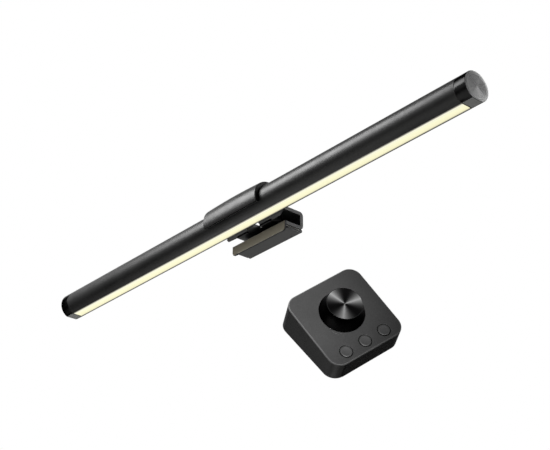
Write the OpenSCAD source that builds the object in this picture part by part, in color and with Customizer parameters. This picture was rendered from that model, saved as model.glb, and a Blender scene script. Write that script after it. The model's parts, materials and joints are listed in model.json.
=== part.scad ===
// Monitor light bar: a round bar with a flat light slot, held in a cradle on a
// monitor clip, with its wireless desk controller.
// The origin is where the monitor's top edge meets its front face, halfway along
// the bar. +X runs along the bar, +Y points behind the monitor and +Z points up.

/* [Bar] */
// Overall length of the bar, over both end caps
bar_length = 506; // [300:1:700]
// Outer diameter of the bar's tube
tube_d = 24; // [22:0.5:30]
// Wall thickness of the tube
tube_wall = 1.5; // [1.2:0.1:2]
// Width of the light slot along the tube's underside
slot_w = 10; // [8:0.5:11]
// Length of each end cap
cap_length = 10.5; // [6:0.5:20]
// Radius of the turned disc let into each end cap
disc_r = 10; // [6:0.5:10]
// Number of turned grooves in each end disc
disc_grooves = 7; // [3:1:8]
// Height of the bar's axis above the monitor's top edge
bar_rise = 15.8; // [15.8:0.2:24]
// Distance of the bar's axis in front of the monitor's front face
bar_reach = 18.6; // [18.6:0.2:24]
// Distance of the power socket from the bar's middle
socket_x = 62; // [50:1:120]

/* [Light] */
// Number of light-emitting diodes in each row
led_count = 40; // [10:1:60]
// Distance between the two rows of diodes
led_row_gap = 4.6; // [4:0.1:5]
// Thickness of the diode board
led_board_t = 1; // [0.8:0.1:1.6]
// Length of the driver board
driver_length = 120; // [110:1:160]

/* [Cradle] */
// How far the cradle stands past each side of the clip
cradle_over = 0.3; // [0:0.1:4]
// Wall thickness of the cradle's shell at its ends
cradle_wall = 2.5; // [2:0.1:3]
// Extra thickness of the shell halfway along it
cradle_crown = 0.7; // [0.2:0.1:1.2]
// Thickness of the soft lining that grips the tube
liner_t = 0.8; // [0.5:0.1:1.2]
// Angle of the shell's front edge below the bar's axis
front_wrap = 23; // [10:1:35]
// Angle of the shell's rear edge below the bar's axis
rear_wrap = 38; // [30:1:42]

/* [Clip] */
// Width of the clip's bracket
clip_w = 66.4; // [56:0.2:90]
// Thickness of the bracket's plate
clip_t = 3; // [2.5:0.1:3.2]
// Depth of the seat behind the monitor's front face
seat_depth = 17; // [15:0.5:24]
// Thickness of the front lip
lip_t = 1.7; // [1.4:0.1:2.2]
// Length of lip below the seat
lip_drop = 5.6; // [4.5:0.1:8]
// Thickness of the soft pad behind the lip
lip_pad_t = 0.8; // [0.5:0.1:1.2]
// Radius of the lip's lower corners
lip_corner_r = 3; // [1:0.5:4]
// Thickness of the clamp flap
flap_t = 1.6; // [1.4:0.1:2]
// Radius of the flap's hinge pin
pin_r = 0.6; // [0.5:0.05:0.7]
// Half the width of the open notch between the cradle's two feet
notch_half_w = 7.6; // [5:0.2:9]
// Width of each cradle foot
foot_w = 13.5; // [9:0.5:15]

/* [Controller] */
// Width and depth of the controller
ctl_w = 60; // [56:1:80]
// Height of the controller's case at its front edge, along the dial's axis
ctl_front_h = 17.8; // [17:0.1:22]
// Slope of the case's top down towards its front
ctl_slope = 8.7; // [4:0.1:10]
// Radius of the case's upright corners
ctl_corner_r = 9; // [6:0.5:12]
// Wall thickness of the case
ctl_wall = 2; // [1.6:0.1:2.4]
// Radius of the dial at its foot
dial_foot_r = 15.9; // [15:0.1:17]
// Radius of the dial's top
dial_top_r = 12.4; // [11:0.1:14]
// Height of the dial above the case
dial_h = 10.9; // [9:0.1:16]
// Distance of the dial's axis behind the controller's middle
dial_y = 3.5; // [2:0.1:6]
// Radius of each button
button_r = 4.25; // [3:0.05:5]
// Distance between neighbouring buttons
button_pitch = 16; // [12:0.1:18]
// Distance of the buttons in front of the controller's middle
button_y = 22.3; // [21.5:0.1:24]
// How far each button can be pressed
button_travel = 0.5; // [0.3:0.1:0.6]

/* [Placing the controller] */
// Position of the middle of the controller's underside along the bar
ctl_x = 137.6; // [110:0.1:200]
// Position of the controller from front to back
ctl_y = -43.7; // [-200:0.1:-20]
// Position of the controller below the monitor's top edge
ctl_z = -137.3; // [-600:0.1:-110]

/* [Hidden] */
$fn = 96;

// How the controller is turned from the bar's frame
ctl_turn = [79.3, -34.1, 63.7];

// Fits
slide_gap = 0.1;
turn_gap = 0.06;
free_gap = 0.3;
eps = 0.01;

// Tube
tube_r = tube_d / 2;
bore_r = tube_r - tube_wall;
tube_length = bar_length - 2 * cap_length;
facet_z = -sqrt(tube_r * tube_r - slot_w * slot_w / 4);
lip_inner_z = -sqrt(bore_r * bore_r - slot_w * slot_w / 4);
flange_over = 0.4;
flange_t = 1;
flange_z = -sqrt(bore_r * bore_r - pow(slot_w / 2 + flange_over, 2)) + slide_gap;
rib_t = 0.9;

// Diodes, on a board under the tube's inner shelf and clear of the diffuser
led_l = 3.5;
led_w = 2.8;
led_t = 0.7;
led_end = 12;
led_pitch = (tube_length - 2 * led_end) / (led_count - 1);
led_board_w = 10;
led_board_end = 1;
led_clear = 1;
shelf_t = 1.2;
shelf_z = flange_z + flange_t + led_clear + led_t + led_board_t;
shelf_top_z = shelf_z + shelf_t;

// Driver board on two rails above the shelf, and the parts on it
rail_h = 1;
rail_w = 1;
rail_y = 6.5;
board_z = shelf_top_z + rail_h;
board_t = 1.4;
board_top_z = board_z + board_t;
driver_w = 15;
driver_x = socket_x - 20;
choke_r = 4;
choke_h = 5;
choke_x = -42;
capacitor_r = 2.5;
capacitor_h = 5.4;
capacitor_x = -28;
capacitor_y = 4;
chip_w = 6;
chip_h = 1.2;
chip_xs = [-16, -4];
radio_x = 48;
radio_size = [16, 12, 0.8];
can_size = [10, 9, 1.6];

// Power socket, a stadium-shaped metal shell
socket_w = 9;
socket_h = 3.2;
socket_depth = 7.2;
socket_wall = 0.35;
socket_back = 0.8;
socket_recess = 0.3;
socket_y = sqrt(tube_r * tube_r - socket_h * socket_h / 4) - socket_recess - socket_depth;
socket_z = board_top_z + socket_h / 2;
tongue_w = 6.6;
tongue_t = 0.7;
tongue_inset = 0.6;

// End caps
plug_length = 7;
plug_z = shelf_top_z + rail_h + slide_gap;
plug_wall = 1.6;
disc_t = 0.9;
disc_proud = 0.15;
groove_w = 0.35;
groove_depth = 0.15;

// Cradle
cradle_length = clip_w + 2 * cradle_over;
liner_r = tube_r + turn_gap;
shell_in_r = liner_r + liner_t;
shell_out_r = shell_in_r + cradle_wall;
wrap_angle = 180 + front_wrap + rear_wrap;
edge_round = 0.7;
crown_steps = 12;

// Clip, in the bar's frame: Y and Z from the bar's axis
seat_z = -bar_rise;
face_y = bar_reach;
lip_back_y = face_y - lip_pad_t;
leg_top_z = seat_z + clip_t;
rear_out_y = face_y + seat_depth;
rear_in_y = rear_out_y - clip_t;
arm_top_z = 0;
arm_z = arm_top_z - clip_t;
arm_front_y = shell_out_r + cradle_crown + free_gap;
bend_in_r = 0.6;
notch_y = arm_front_y + 7;
foot_x = notch_half_w + foot_w / 2;
foot_front_y = 11.2;
foot_low_z = -10.9;
foot_back_z = -7.5;
foot_back_y = arm_front_y + 6.5;
screw_y = arm_front_y + 3.4;
screw_r = 1.25;
screw_head_r = 2.5;
screw_length = 6.5;

// Clamp flap, hinged at the seat's rear edge
seat_pad_t = 0.7;
hinge_r = flap_t;
hinge_y = rear_out_y - hinge_r - 0.1;
hinge_z = seat_z - seat_pad_t - slide_gap;
flap_front_y = face_y + free_gap;
flap_back_y = hinge_y - hinge_r - free_gap;
flap_w = clip_w - 2;
lug_w = 10;
lug_end = flap_w / 2;
knuckle_half_w = lug_end - lug_w - free_gap;
spring_half_w = 7;
spring_turns = 14;
spring_wire = 0.5;
spring_bore_r = pin_r + spring_wire + 0.1;
flap_pad_t = 0.6;
flap_pad_w = flap_w - 8;
pad_inset = 1.4;
pad_back_y = hinge_y - hinge_r - pad_inset;

// Controller, with Z along the dial's axis: the middle of the underside is at 0
ctl_h = ctl_front_h + ctl_w / 2 * tan(ctl_slope);
base_drop = ctl_w * tan(ctl_slope);
foot_t = 0.8;
rubber_r = 4;
case_edge_r = 0.8;
base_t = 1.6;
base_top_z = foot_t + base_t;
wall_in_z = ctl_h - ctl_wall;
battery_r = 5.25;
battery_length = 44;
battery_gap = 12;
battery_y = 3;
battery_z = base_top_z + 0.1 + battery_r;
door_w = 46;
door_d = 26;
door_corner_r = 2;
grip_count = 5;
grip_w = 14;
grip_t = 0.7;
grip_depth = 0.4;
grip_pitch = 1.6;
grip_y = 7;
pcb_t = 1;
key_room = 2.9;
pcb_top_z = wall_in_z - key_room;
pcb_z = pcb_top_z - pcb_t;
button_gap = 0.35;
button_proud = 0.3;
button_wing = 1.3;
button_wing_w = 6.5;
button_flange_t = 0.6;
button_low_z = wall_in_z - button_flange_t - 0.05;
switch_h = button_low_z - button_travel - 0.05 - pcb_top_z;
switch_w = 5;
dial_gap = 0.6;
dial_wall = 2;
dial_edge = 0.35;
dial_dish = 0.25;
dial_steps = 8;
dial_in_z = ctl_h + dial_h - dial_wall;
hub_r = 9;
shaft_r = 3;
encoder_w = 12;
encoder_top_z = ctl_h + 1.2;
encoder_hole_r = 9;
case_boss_w = 8;
case_screw_r = 1.1;
case_screw_head_r = 2;
case_screw_head_h = 0.8;
case_screw_length = 6;
case_screw_at = ctl_w / 2 - ctl_wall - case_boss_w / 2 - 0.6;
button_xs = [-button_pitch, 0, button_pitch];

// Places children drawn in the bar's frame, with the bar's axis as X
module bar_frame() {
    translate([0, -bar_reach, bar_rise]) children();
}

// Places children drawn with Z along the dial's axis
module controller_frame() {
    translate([ctl_x, ctl_y, ctl_z]) rotate(ctl_turn) children();
}

// Turns children drawn on the controller's underside, which its top slopes away from
module on_base() {
    rotate([-ctl_slope, 0, 0]) children();
}

// Extrudes a YZ outline along X, centred
module along_x(length) {
    rotate([90, 0, 90]) linear_extrude(length, center = true) children();
}

// Turns a profile drawn as (radius, x) about the X axis
module turned_x(start = 0, angle = 360) {
    rotate([90, 0, 90]) rotate([0, 0, start]) rotate_extrude(angle = angle) children();
}

// Box from its lowest corner to its highest
module span(low, high) {
    translate(low) cube(high - low);
}

module mirrored_x() {
    children();
    mirror([1, 0, 0]) children();
}

// Square with round corners, centred
module rounded_square(size, r) {
    union() {
        square([size[0] - 2 * r, size[1]], center = true);
        square([size[0], size[1] - 2 * r], center = true);
        for (x = [-1, 1], y = [-1, 1])
            translate([x * (size[0] / 2 - r), y * (size[1] / 2 - r)]) circle(r);
    }
}

// Stadium outline, wider than it is high
module stadium(w, h) {
    union() {
        square([w - h, h], center = true);
        for (x = [-1, 1]) translate([x * (w - h) / 2, 0]) circle(h / 2);
    }
}

// ---- Bar ----

module tube_outline() {
    difference() {
        union() {
            difference() {
                circle(tube_r);
                circle(bore_r);
            }
            intersection() {
                circle(bore_r + eps);
                union() {
                    translate([-tube_r, shelf_z]) square([tube_d, shelf_t]);
                    for (s = [-1, 1]) {
                        translate([s * rail_y - rail_w / 2, shelf_top_z - eps])
                            square([rail_w, rail_h + eps]);
                        translate([s * tube_r - tube_r / 2, flange_z + flange_t + slide_gap])
                            square([tube_r, rib_t]);
                    }
                }
            }
        }
        translate([-slot_w / 2, -tube_d]) square([slot_w, tube_d + lip_inner_z + 0.5]);
    }
}

module tube_housing() {
    color("#1d1d1f") bar_frame() difference() {
        along_x(tube_length) tube_outline();
        translate([socket_x, 0, socket_z]) rotate([-90, 0, 0])
            linear_extrude(tube_d) stadium(socket_w + 0.3, socket_h + 0.3);
    }
}

module diffuser() {
    face_w = slot_w - 2 * slide_gap;
    flange_w = slot_w + 2 * flange_over;
    color("#fff6d8") bar_frame() along_x(tube_length) union() {
        translate([-face_w / 2, facet_z]) square([face_w, flange_z - facet_z + eps]);
        translate([-flange_w / 2, flange_z]) square([flange_w, flange_t]);
    }
}

module led_board() {
    color("#f2f2ee") bar_frame() translate([0, 0, shelf_z - led_board_t / 2])
        cube([tube_length - 2 * led_board_end, led_board_w, led_board_t], center = true);
}

module led_chips() {
    color("#f4d27a") bar_frame() for (i = [0 : led_count - 1], s = [-1, 1])
        translate([(i - (led_count - 1) / 2) * led_pitch, s * led_row_gap / 2,
            shelf_z - led_board_t - led_t / 2])
            cube([led_l, led_w, led_t], center = true);
}

module driver_board() {
    color("#1f5a34") bar_frame() translate([driver_x, 0, board_z + board_t / 2])
        cube([driver_length, driver_w, board_t], center = true);
}

// Choke, two capacitors and the two controller chips
module driver_parts() {
    color("#303236") bar_frame() translate([driver_x, 0, board_top_z]) {
        translate([choke_x, 0, 0]) cylinder(r = choke_r, h = choke_h);
        for (s = [-1, 1]) translate([capacitor_x, s * capacitor_y, 0])
            cylinder(r = capacitor_r, h = capacitor_h);
        for (x = chip_xs) translate([x, 0, chip_h / 2]) cube([chip_w, chip_w, chip_h], center = true);
    }
}

module radio_board() {
    color("#23365c") bar_frame() translate([driver_x + radio_x, 0, board_top_z])
        union() {
            translate([0, 0, radio_size[2] / 2]) cube(radio_size, center = true);
            translate([0, 0, radio_size[2] + can_size[2] / 2 - eps]) cube(can_size, center = true);
        }
}

module usb_c_socket() {
    color("#b9bcc0") bar_frame() translate([socket_x, socket_y, socket_z])
        rotate([-90, 0, 0]) union() {
            difference() {
                linear_extrude(socket_depth) stadium(socket_w, socket_h);
                translate([0, 0, socket_back]) linear_extrude(socket_depth)
                    stadium(socket_w - 2 * socket_wall, socket_h - 2 * socket_wall);
            }
            translate([-tongue_w / 2, -tongue_t / 2, tongue_inset])
                cube([tongue_w, tongue_t, socket_depth - 2 * tongue_inset]);
        }
}

// Outline of the bar's outside, with its flat underside
module bar_outline() {
    difference() {
        circle(tube_r);
        translate([-tube_r, facet_z - tube_r]) square([tube_d, tube_r]);
    }
}

// Cap at the bar's right end, its plug standing into the tube
module end_cap() {
    plug_r = bore_r - slide_gap;
    bar_frame() difference() {
        union() {
            translate([(tube_length + cap_length) / 2, 0, 0]) along_x(cap_length) bar_outline();
            translate([(tube_length - plug_length) / 2, 0, 0]) along_x(plug_length + eps)
                difference() {
                    circle(plug_r);
                    circle(plug_r - plug_wall);
                    translate([-tube_r, plug_z - tube_d]) square([tube_d, tube_d]);
                }
        }
        translate([bar_length / 2 - disc_t + disc_proud, 0, 0]) rotate([0, 90, 0])
            cylinder(r = disc_r, h = disc_t);
    }
}

module end_cap_right() {
    color("#26272a") end_cap();
}

module end_cap_left() {
    color("#26272a") mirror([1, 0, 0]) end_cap();
}

// Turned disc with round grooves in its face
module end_disc() {
    pitch = (disc_r - 1) / (disc_grooves + 0.5);
    bar_frame() translate([bar_length / 2 - disc_t + disc_proud, 0, 0]) rotate([0, 90, 0])
        difference() {
            cylinder(r = disc_r, h = disc_t);
            for (i = [1 : disc_grooves]) rotate_extrude()
                translate([i * pitch, disc_t - groove_depth]) square([groove_w, groove_depth + eps]);
        }
}

module end_disc_right() {
    color("#5a5b5e") end_disc();
}

module end_disc_left() {
    color("#5a5b5e") mirror([1, 0, 0]) end_disc();
}

// ---- Cradle ----

// The shell's outer radius at a place along it, from -1 to 1
function crown(t) = shell_out_r + cradle_crown * (1 - t * t);

module shell_profile() {
    half = cradle_length / 2;
    run = half - edge_round;
    outer = [for (i = [-crown_steps : crown_steps]) let (t = i / crown_steps) [crown(t), t * run]];
    polygon(concat(
        [[shell_in_r, -half], [shell_out_r - edge_round, -half]],
        outer,
        [[shell_out_r - edge_round, half], [shell_in_r, half]]));
}

// One of the two feet that the bracket is screwed to, drawn as an outline
module foot_outline() {
    polygon([[foot_front_y, foot_low_z], [foot_back_y, foot_back_z],
        [foot_back_y, arm_z], [foot_front_y, arm_z]]);
}

module cradle_shell() {
    color("#222326") bar_frame() difference() {
        union() {
            turned_x(-rear_wrap, wrap_angle) shell_profile();
            for (s = [-1, 1]) translate([s * foot_x, 0, 0]) along_x(foot_w) foot_outline();
        }
        rotate([0, 90, 0]) cylinder(r = shell_in_r, h = cradle_length, center = true);
        span([-notch_half_w, 0, -tube_d], [notch_half_w, tube_d, arm_z / 2]);
        for (s = [-1, 1]) translate([s * foot_x, screw_y, -tube_r])
            cylinder(r = screw_r, h = tube_d);
    }
}

module cradle_liner() {
    color("#3b3c40") bar_frame() difference() {
        turned_x(-rear_wrap, wrap_angle)
            translate([liner_r, -cradle_length / 2 + 1]) square([liner_t, cradle_length - 2]);
        span([-notch_half_w, 0, -tube_d], [notch_half_w, tube_d, arm_z / 2]);
    }
}

// ---- Clip ----

// Rectangle in Y and Z whose rear corners are round
module back_rounded(low, high, r) {
    union() {
        translate(low) square([high[0] - low[0] - r, high[1] - low[1]]);
        translate([high[0] - 2 * r, low[1] + r]) square([2 * r, high[1] - low[1] - 2 * r]);
        for (z = [low[1] + r, high[1] - r]) translate([high[0] - r, z]) circle(r);
    }
}

// Bent plate: the seat, the rear wall and the arm that carries the cradle
module bracket_outline() {
    difference() {
        back_rounded([lip_back_y, seat_z], [rear_out_y, arm_top_z], bend_in_r + clip_t);
        back_rounded([-tube_r, leg_top_z], [rear_in_y, arm_z], bend_in_r);
        translate([0, leg_top_z]) square([arm_front_y, bar_rise]);
    }
}

// Hinge lug that hangs from the seat's rear edge
module lug() {
    translate([lug_end - lug_w, hinge_y, hinge_z]) union() {
        rotate([0, 90, 0]) cylinder(r = hinge_r, h = lug_w);
        span([0, -hinge_r, 0], [lug_w, 0, seat_z + clip_t / 2 - hinge_z]);
    }
}

module bracket() {
    color("#232427") bar_frame() difference() {
        union() {
            along_x(clip_w) bracket_outline();
            mirrored_x() lug();
        }
        translate([0, hinge_y, hinge_z]) rotate([0, 90, 0]) {
            cylinder(r = hinge_r + free_gap, h = 2 * (lug_end - lug_w), center = true);
            cylinder(r = pin_r, h = 2 * lug_end + eps, center = true);
        }
        span([-notch_half_w, 0, arm_z - eps], [notch_half_w, notch_y, arm_top_z + eps]);
        for (s = [-1, 1]) translate([s * foot_x, screw_y, 0]) screw_shape(eps);
    }
}

// Countersunk screw with its head flush at 0, standing down
module screw_shape(over = 0) {
    rotate([180, 0, 0]) translate([0, 0, -over]) rotate_extrude()
        polygon([[0, 0], [screw_head_r, 0], [screw_head_r, over + 0.3],
            [screw_r, over + 0.3 + screw_head_r - screw_r], [screw_r, screw_length], [0, screw_length]]);
}

module bracket_screws() {
    color("#8d8f94") bar_frame() for (s = [-1, 1]) translate([s * foot_x, screw_y, 0])
        difference() {
            screw_shape();
            translate([0, 0, -1.1]) cylinder(r = 0.9, h = 1.2);
        }
}

module front_lip() {
    low_z = seat_z - lip_drop;
    color("#8f8a7e") bar_frame() translate([0, lip_back_y, 0]) rotate([90, 0, 0])
        linear_extrude(lip_t) union() {
            translate([-clip_w / 2, low_z + lip_corner_r])
                square([clip_w, leg_top_z - low_z - lip_corner_r]);
            translate([-clip_w / 2 + lip_corner_r, low_z]) square([clip_w - 2 * lip_corner_r, lip_corner_r]);
            for (s = [-1, 1])
                translate([s * (clip_w / 2 - lip_corner_r), low_z + lip_corner_r]) circle(lip_corner_r);
        }
}

module lip_pad() {
    color("#4a4a4c") bar_frame() translate([0, face_y, seat_z - lip_drop / 2])
        rotate([90, 0, 0]) linear_extrude(lip_pad_t)
            rounded_square([clip_w - 2 * lip_corner_r, lip_drop - 1], 1.2);
}

module seat_pad() {
    color("#9a958a") bar_frame() span([-flap_w / 2, flap_front_y, seat_z - seat_pad_t],
        [flap_w / 2, flap_back_y, seat_z]);
}

module hinge_pin() {
    color("#b5b7bb") bar_frame() translate([0, hinge_y, hinge_z]) rotate([0, 90, 0])
        cylinder(r = pin_r, h = flap_w - 1, center = true);
}

// Close-wound torsion spring, drawn as a sleeve with a groove between its turns
module flap_spring() {
    coil_w = 2 * spring_half_w - 2 * free_gap;
    pitch = coil_w / spring_turns;
    color("#a9abb0") bar_frame() translate([0, hinge_y, hinge_z]) turned_x() difference() {
        translate([pin_r, -coil_w / 2]) square([spring_wire, coil_w]);
        for (i = [1 : spring_turns - 1])
            translate([pin_r + spring_wire, i * pitch - coil_w / 2]) rotate(45)
                square(spring_wire * 0.4, center = true);
    }
}

// ---- Clamp flap ----

module clamp_flap() {
    color("#3c3d40") bar_frame() difference() {
        union() {
            span([-flap_w / 2, flap_front_y, hinge_z - flap_t],
                [flap_w / 2, flap_back_y, hinge_z]);
            span([-knuckle_half_w, flap_front_y + 1, hinge_z - flap_t], [knuckle_half_w, hinge_y, hinge_z]);
            translate([0, hinge_y, hinge_z]) rotate([0, 90, 0])
                cylinder(r = hinge_r, h = 2 * knuckle_half_w, center = true);
        }
        translate([0, hinge_y, hinge_z]) rotate([0, 90, 0]) {
            cylinder(r = pin_r + turn_gap, h = clip_w, center = true);
            cylinder(r = spring_bore_r, h = 2 * spring_half_w, center = true);
        }
        span([-flap_pad_w / 2, flap_front_y + pad_inset, hinge_z - flap_pad_t],
            [flap_pad_w / 2, pad_back_y, hinge_z + eps]);
    }
}

module flap_pad() {
    color("#56575a") bar_frame() span(
        [-flap_pad_w / 2, flap_front_y + pad_inset, hinge_z - flap_pad_t],
        [flap_pad_w / 2, pad_back_y, hinge_z]);
}

// ---- Controller ----

// Square block with round upright corners and a rounded top edge
module soft_block(w, h, r, edge) {
    module side_profile(half) {
        square([half, h - edge]);
        square([half - edge, h]);
        translate([half - edge, h - edge]) circle(edge, $fn = 32);
    }
    union() {
        for (turn = [0, 90, 180, 270]) rotate([0, 0, turn])
            translate([0, w / 2 - r, 0]) rotate([90, 0, 0])
                linear_extrude(w - 2 * r) side_profile(w / 2);
        for (x = [-1, 1], y = [-1, 1]) translate([x * (w / 2 - r), y * (w / 2 - r), 0])
            rotate_extrude() side_profile(r);
    }
}

// Space between the case's walls, a gap inside them
module case_room(top, gap = 0) {
    w = ctl_w - 2 * ctl_wall - 2 * gap;
    translate([0, 0, -base_drop]) linear_extrude(base_drop + top)
        rounded_square([w, w], ctl_corner_r - ctl_wall - gap);
}

// Wide layer parallel to the desk
module layer(low, high) {
    on_base() span([-ctl_w, -ctl_w, low], [ctl_w, ctl_w, high]);
}

module at_screws() {
    on_base() for (x = [-1, 1], y = [-1, 1]) translate([x * case_screw_at, y * case_screw_at, 0])
        children();
}

// Posts in the case's corners, above the base
module screw_posts() {
    post_at = ctl_w / 2 - ctl_wall;
    difference() {
        for (x = [-1, 1], y = [-1, 1]) translate([x * post_at, y * post_at, (pcb_z - base_drop) / 2])
            cube([2 * case_boss_w, 2 * case_boss_w, pcb_z + base_drop], center = true);
        layer(-ctl_w, base_top_z);
    }
}

module controller_case() {
    color("#2c2d30") controller_frame() difference() {
        translate([0, 0, -base_drop]) soft_block(ctl_w, ctl_h + base_drop, ctl_corner_r, case_edge_r);
        layer(-ctl_w, foot_t);
        difference() {
            case_room(wall_in_z);
            screw_posts();
        }
        at_screws() cylinder(r = case_screw_r, h = base_top_z + case_screw_length);
        translate([0, dial_y, pcb_top_z]) cylinder(r = encoder_hole_r, h = ctl_h);
        for (x = button_xs) translate([x, -button_y, pcb_top_z])
            cylinder(r = button_r + button_gap, h = ctl_h);
    }
}

module door_opening(gap) {
    translate([0, battery_y, foot_t - eps]) linear_extrude(base_t + 2 * eps)
        rounded_square([door_w + 2 * gap, door_d + 2 * gap], door_corner_r + gap);
}

module controller_base() {
    color("#27282a") controller_frame() difference() {
        intersection() {
            case_room(ctl_h, slide_gap);
            layer(foot_t, base_top_z);
        }
        on_base() door_opening(0.2);
        at_screws() {
            cylinder(r = case_screw_r, h = ctl_h);
            cylinder(r = case_screw_head_r, h = foot_t + case_screw_head_h);
        }
    }
}

// Pads that hide the case screws
module controller_feet() {
    color("#141415") controller_frame() at_screws() rotate_extrude()
        polygon([[0, 0], [rubber_r - 0.4, 0], [rubber_r, 0.4], [rubber_r, foot_t], [0, foot_t]]);
}

module case_screws() {
    color("#8d8f94") controller_frame() at_screws() translate([0, 0, foot_t]) union() {
        cylinder(r = case_screw_head_r, h = case_screw_head_h);
        cylinder(r = case_screw_r, h = base_t + case_screw_length);
    }
}

// Cover under the batteries, with grooves for the thumb
module battery_door() {
    color("#27282a") controller_frame() on_base() difference() {
        translate([0, battery_y, foot_t]) linear_extrude(base_t)
            rounded_square([door_w, door_d], door_corner_r);
        for (i = [0 : grip_count - 1])
            translate([-grip_w / 2, battery_y - door_d / 2 + grip_y + (i - grip_count / 2) * grip_pitch, 0])
                cube([grip_w, grip_t, foot_t + grip_depth]);
    }
}

module batteries() {
    color("#4f8f5a") controller_frame() on_base() for (s = [-1, 1])
        translate([-battery_length / 2, battery_y + s * battery_gap / 2, battery_z]) rotate([0, 90, 0])
            union() {
                cylinder(r = battery_r, h = battery_length - 1);
                cylinder(r = 1.9, h = battery_length);
            }
}

// Spring plates at both ends of the two cells
module battery_contacts() {
    color("#c9b26a") controller_frame() on_base() for (x = [-1, 1], s = [-1, 1])
        translate([x * (battery_length / 2 + 0.25), battery_y + s * battery_gap / 2,
            (base_top_z + battery_z + 4) / 2])
            cube([0.5, 8.5, battery_z + 4 - base_top_z], center = true);
}

module controller_board() {
    w = ctl_w - 2 * ctl_wall - 2;
    color("#1f5a34") controller_frame() translate([0, 0, pcb_z]) linear_extrude(pcb_t)
        rounded_square([w, w], ctl_corner_r - ctl_wall - 1);
}

module dial_encoder() {
    color("#6f7378") controller_frame() translate([0, dial_y, pcb_top_z]) difference() {
        translate([-encoder_w / 2, -encoder_w / 2, 0])
            cube([encoder_w, encoder_w, encoder_top_z - pcb_top_z]);
        translate([0, 0, 2]) cylinder(r = shaft_r + turn_gap, h = ctl_h);
    }
}

module dial_shaft() {
    color("#a9abb0") controller_frame() translate([0, dial_y, pcb_top_z + 2 + turn_gap])
        cylinder(r = shaft_r, h = dial_in_z - pcb_top_z - 2 - turn_gap);
}

module dial_hub() {
    color("#37383b") controller_frame() translate([0, dial_y, encoder_top_z + free_gap]) difference() {
        cylinder(r = hub_r, h = dial_in_z - encoder_top_z - free_gap);
        translate([0, 0, -eps]) cylinder(r = shaft_r, h = ctl_h);
    }
}

// Radius of the dial's side at a share of its height, narrowest at the top
function dial_side(t) = dial_top_r + (dial_foot_r - dial_top_r) * pow(1 - t, 1.5);

module dial() {
    low = dial_gap;
    outer = [for (i = [0 : dial_steps]) let (t = i / dial_steps)
        [dial_side(t), low + t * (dial_h - low - dial_edge)]];
    inner = [for (i = [dial_steps : -1 : 0]) let (t = i / dial_steps)
        [dial_side(t) - dial_wall, low + t * (dial_h - low - dial_wall)]];
    color("#18181a") controller_frame() translate([0, dial_y, ctl_h]) rotate_extrude()
        polygon(concat(outer, [[dial_top_r - dial_edge, dial_h], [0, dial_h - dial_dish]],
            [[0, dial_h - dial_wall]], inner));
}

// Round key with two wings that keep it under the case's top
module button(x) {
    top = ctl_h + button_proud - button_low_z;
    color("#2f3033") controller_frame() translate([x, -button_y, button_low_z]) union() {
        rotate_extrude() polygon([[0, 0], [button_r, 0], [button_r, top - 0.4], [button_r - 0.4, top],
            [0, top - 0.15]]);
        translate([-button_r - button_wing, -button_wing_w / 2, 0])
            cube([2 * (button_r + button_wing), button_wing_w, button_flange_t]);
    }
}

module button_left() {
    button(button_xs[0]);
}

module button_middle() {
    button(button_xs[1]);
}

module button_right() {
    button(button_xs[2]);
}

module button_switches() {
    color("#c7c9cc") controller_frame() for (x = button_xs)
        translate([x, -button_y, pcb_top_z]) union() {
            translate([-switch_w / 2, -switch_w / 2, 0]) cube([switch_w, switch_w, switch_h - 0.5]);
            cylinder(r = 1.6, h = switch_h);
        }
}

tube_housing();
diffuser();
led_board();
led_chips();
driver_board();
driver_parts();
radio_board();
usb_c_socket();
end_cap_left();
end_cap_right();
end_disc_left();
end_disc_right();
cradle_shell();
cradle_liner();
bracket();
bracket_screws();
front_lip();
lip_pad();
seat_pad();
hinge_pin();
clamp_flap();
flap_pad();
flap_spring();
controller_case();
controller_base();
controller_feet();
case_screws();
battery_door();
batteries();
battery_contacts();
controller_board();
dial_encoder();
dial_shaft();
dial();
dial_hub();
button_left();
button_middle();
button_right();
button_switches();
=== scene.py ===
"""Looks for a monitor light bar and its desk controller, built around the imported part."""

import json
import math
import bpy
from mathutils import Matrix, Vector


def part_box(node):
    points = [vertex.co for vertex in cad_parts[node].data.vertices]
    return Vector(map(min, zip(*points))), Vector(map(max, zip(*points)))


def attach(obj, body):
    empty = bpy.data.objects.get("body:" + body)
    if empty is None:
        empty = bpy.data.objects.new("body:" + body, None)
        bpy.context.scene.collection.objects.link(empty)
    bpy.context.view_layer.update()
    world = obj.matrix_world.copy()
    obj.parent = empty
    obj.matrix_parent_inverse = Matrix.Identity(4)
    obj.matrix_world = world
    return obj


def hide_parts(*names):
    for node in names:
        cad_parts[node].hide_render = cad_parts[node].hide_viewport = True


bl_info = {
    "name": "Monitor Light Bar",
    "version": (1, 0, 0),
    "blender": (4, 5, 0),
    "location": "View3D > Sidebar > Light Bar",
    "description": "Dresses the light bar, its monitor clip and its desk controller",
    "category": "Object",
}

import bmesh
import bpy
from bpy.props import FloatProperty, FloatVectorProperty, PointerProperty
from mathutils import Matrix, Vector

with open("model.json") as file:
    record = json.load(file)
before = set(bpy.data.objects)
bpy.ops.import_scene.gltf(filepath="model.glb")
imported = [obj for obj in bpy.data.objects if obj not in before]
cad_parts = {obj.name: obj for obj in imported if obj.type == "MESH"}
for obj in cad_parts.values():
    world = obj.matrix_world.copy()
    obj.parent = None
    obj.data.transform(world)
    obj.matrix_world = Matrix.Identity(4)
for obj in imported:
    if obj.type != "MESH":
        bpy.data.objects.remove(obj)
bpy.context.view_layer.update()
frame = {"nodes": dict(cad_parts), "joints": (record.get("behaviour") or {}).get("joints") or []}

MM = 0.001
ROUND_STEPS = 128  # facets of the large rounds
SHARP_ANGLE = math.radians(32)  # edges above it stay sharp
NEAR = 1e-3  # millimetres within which a point is taken to be at a place
MERGE = 1e-4  # millimetres within which two points are made one

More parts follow.
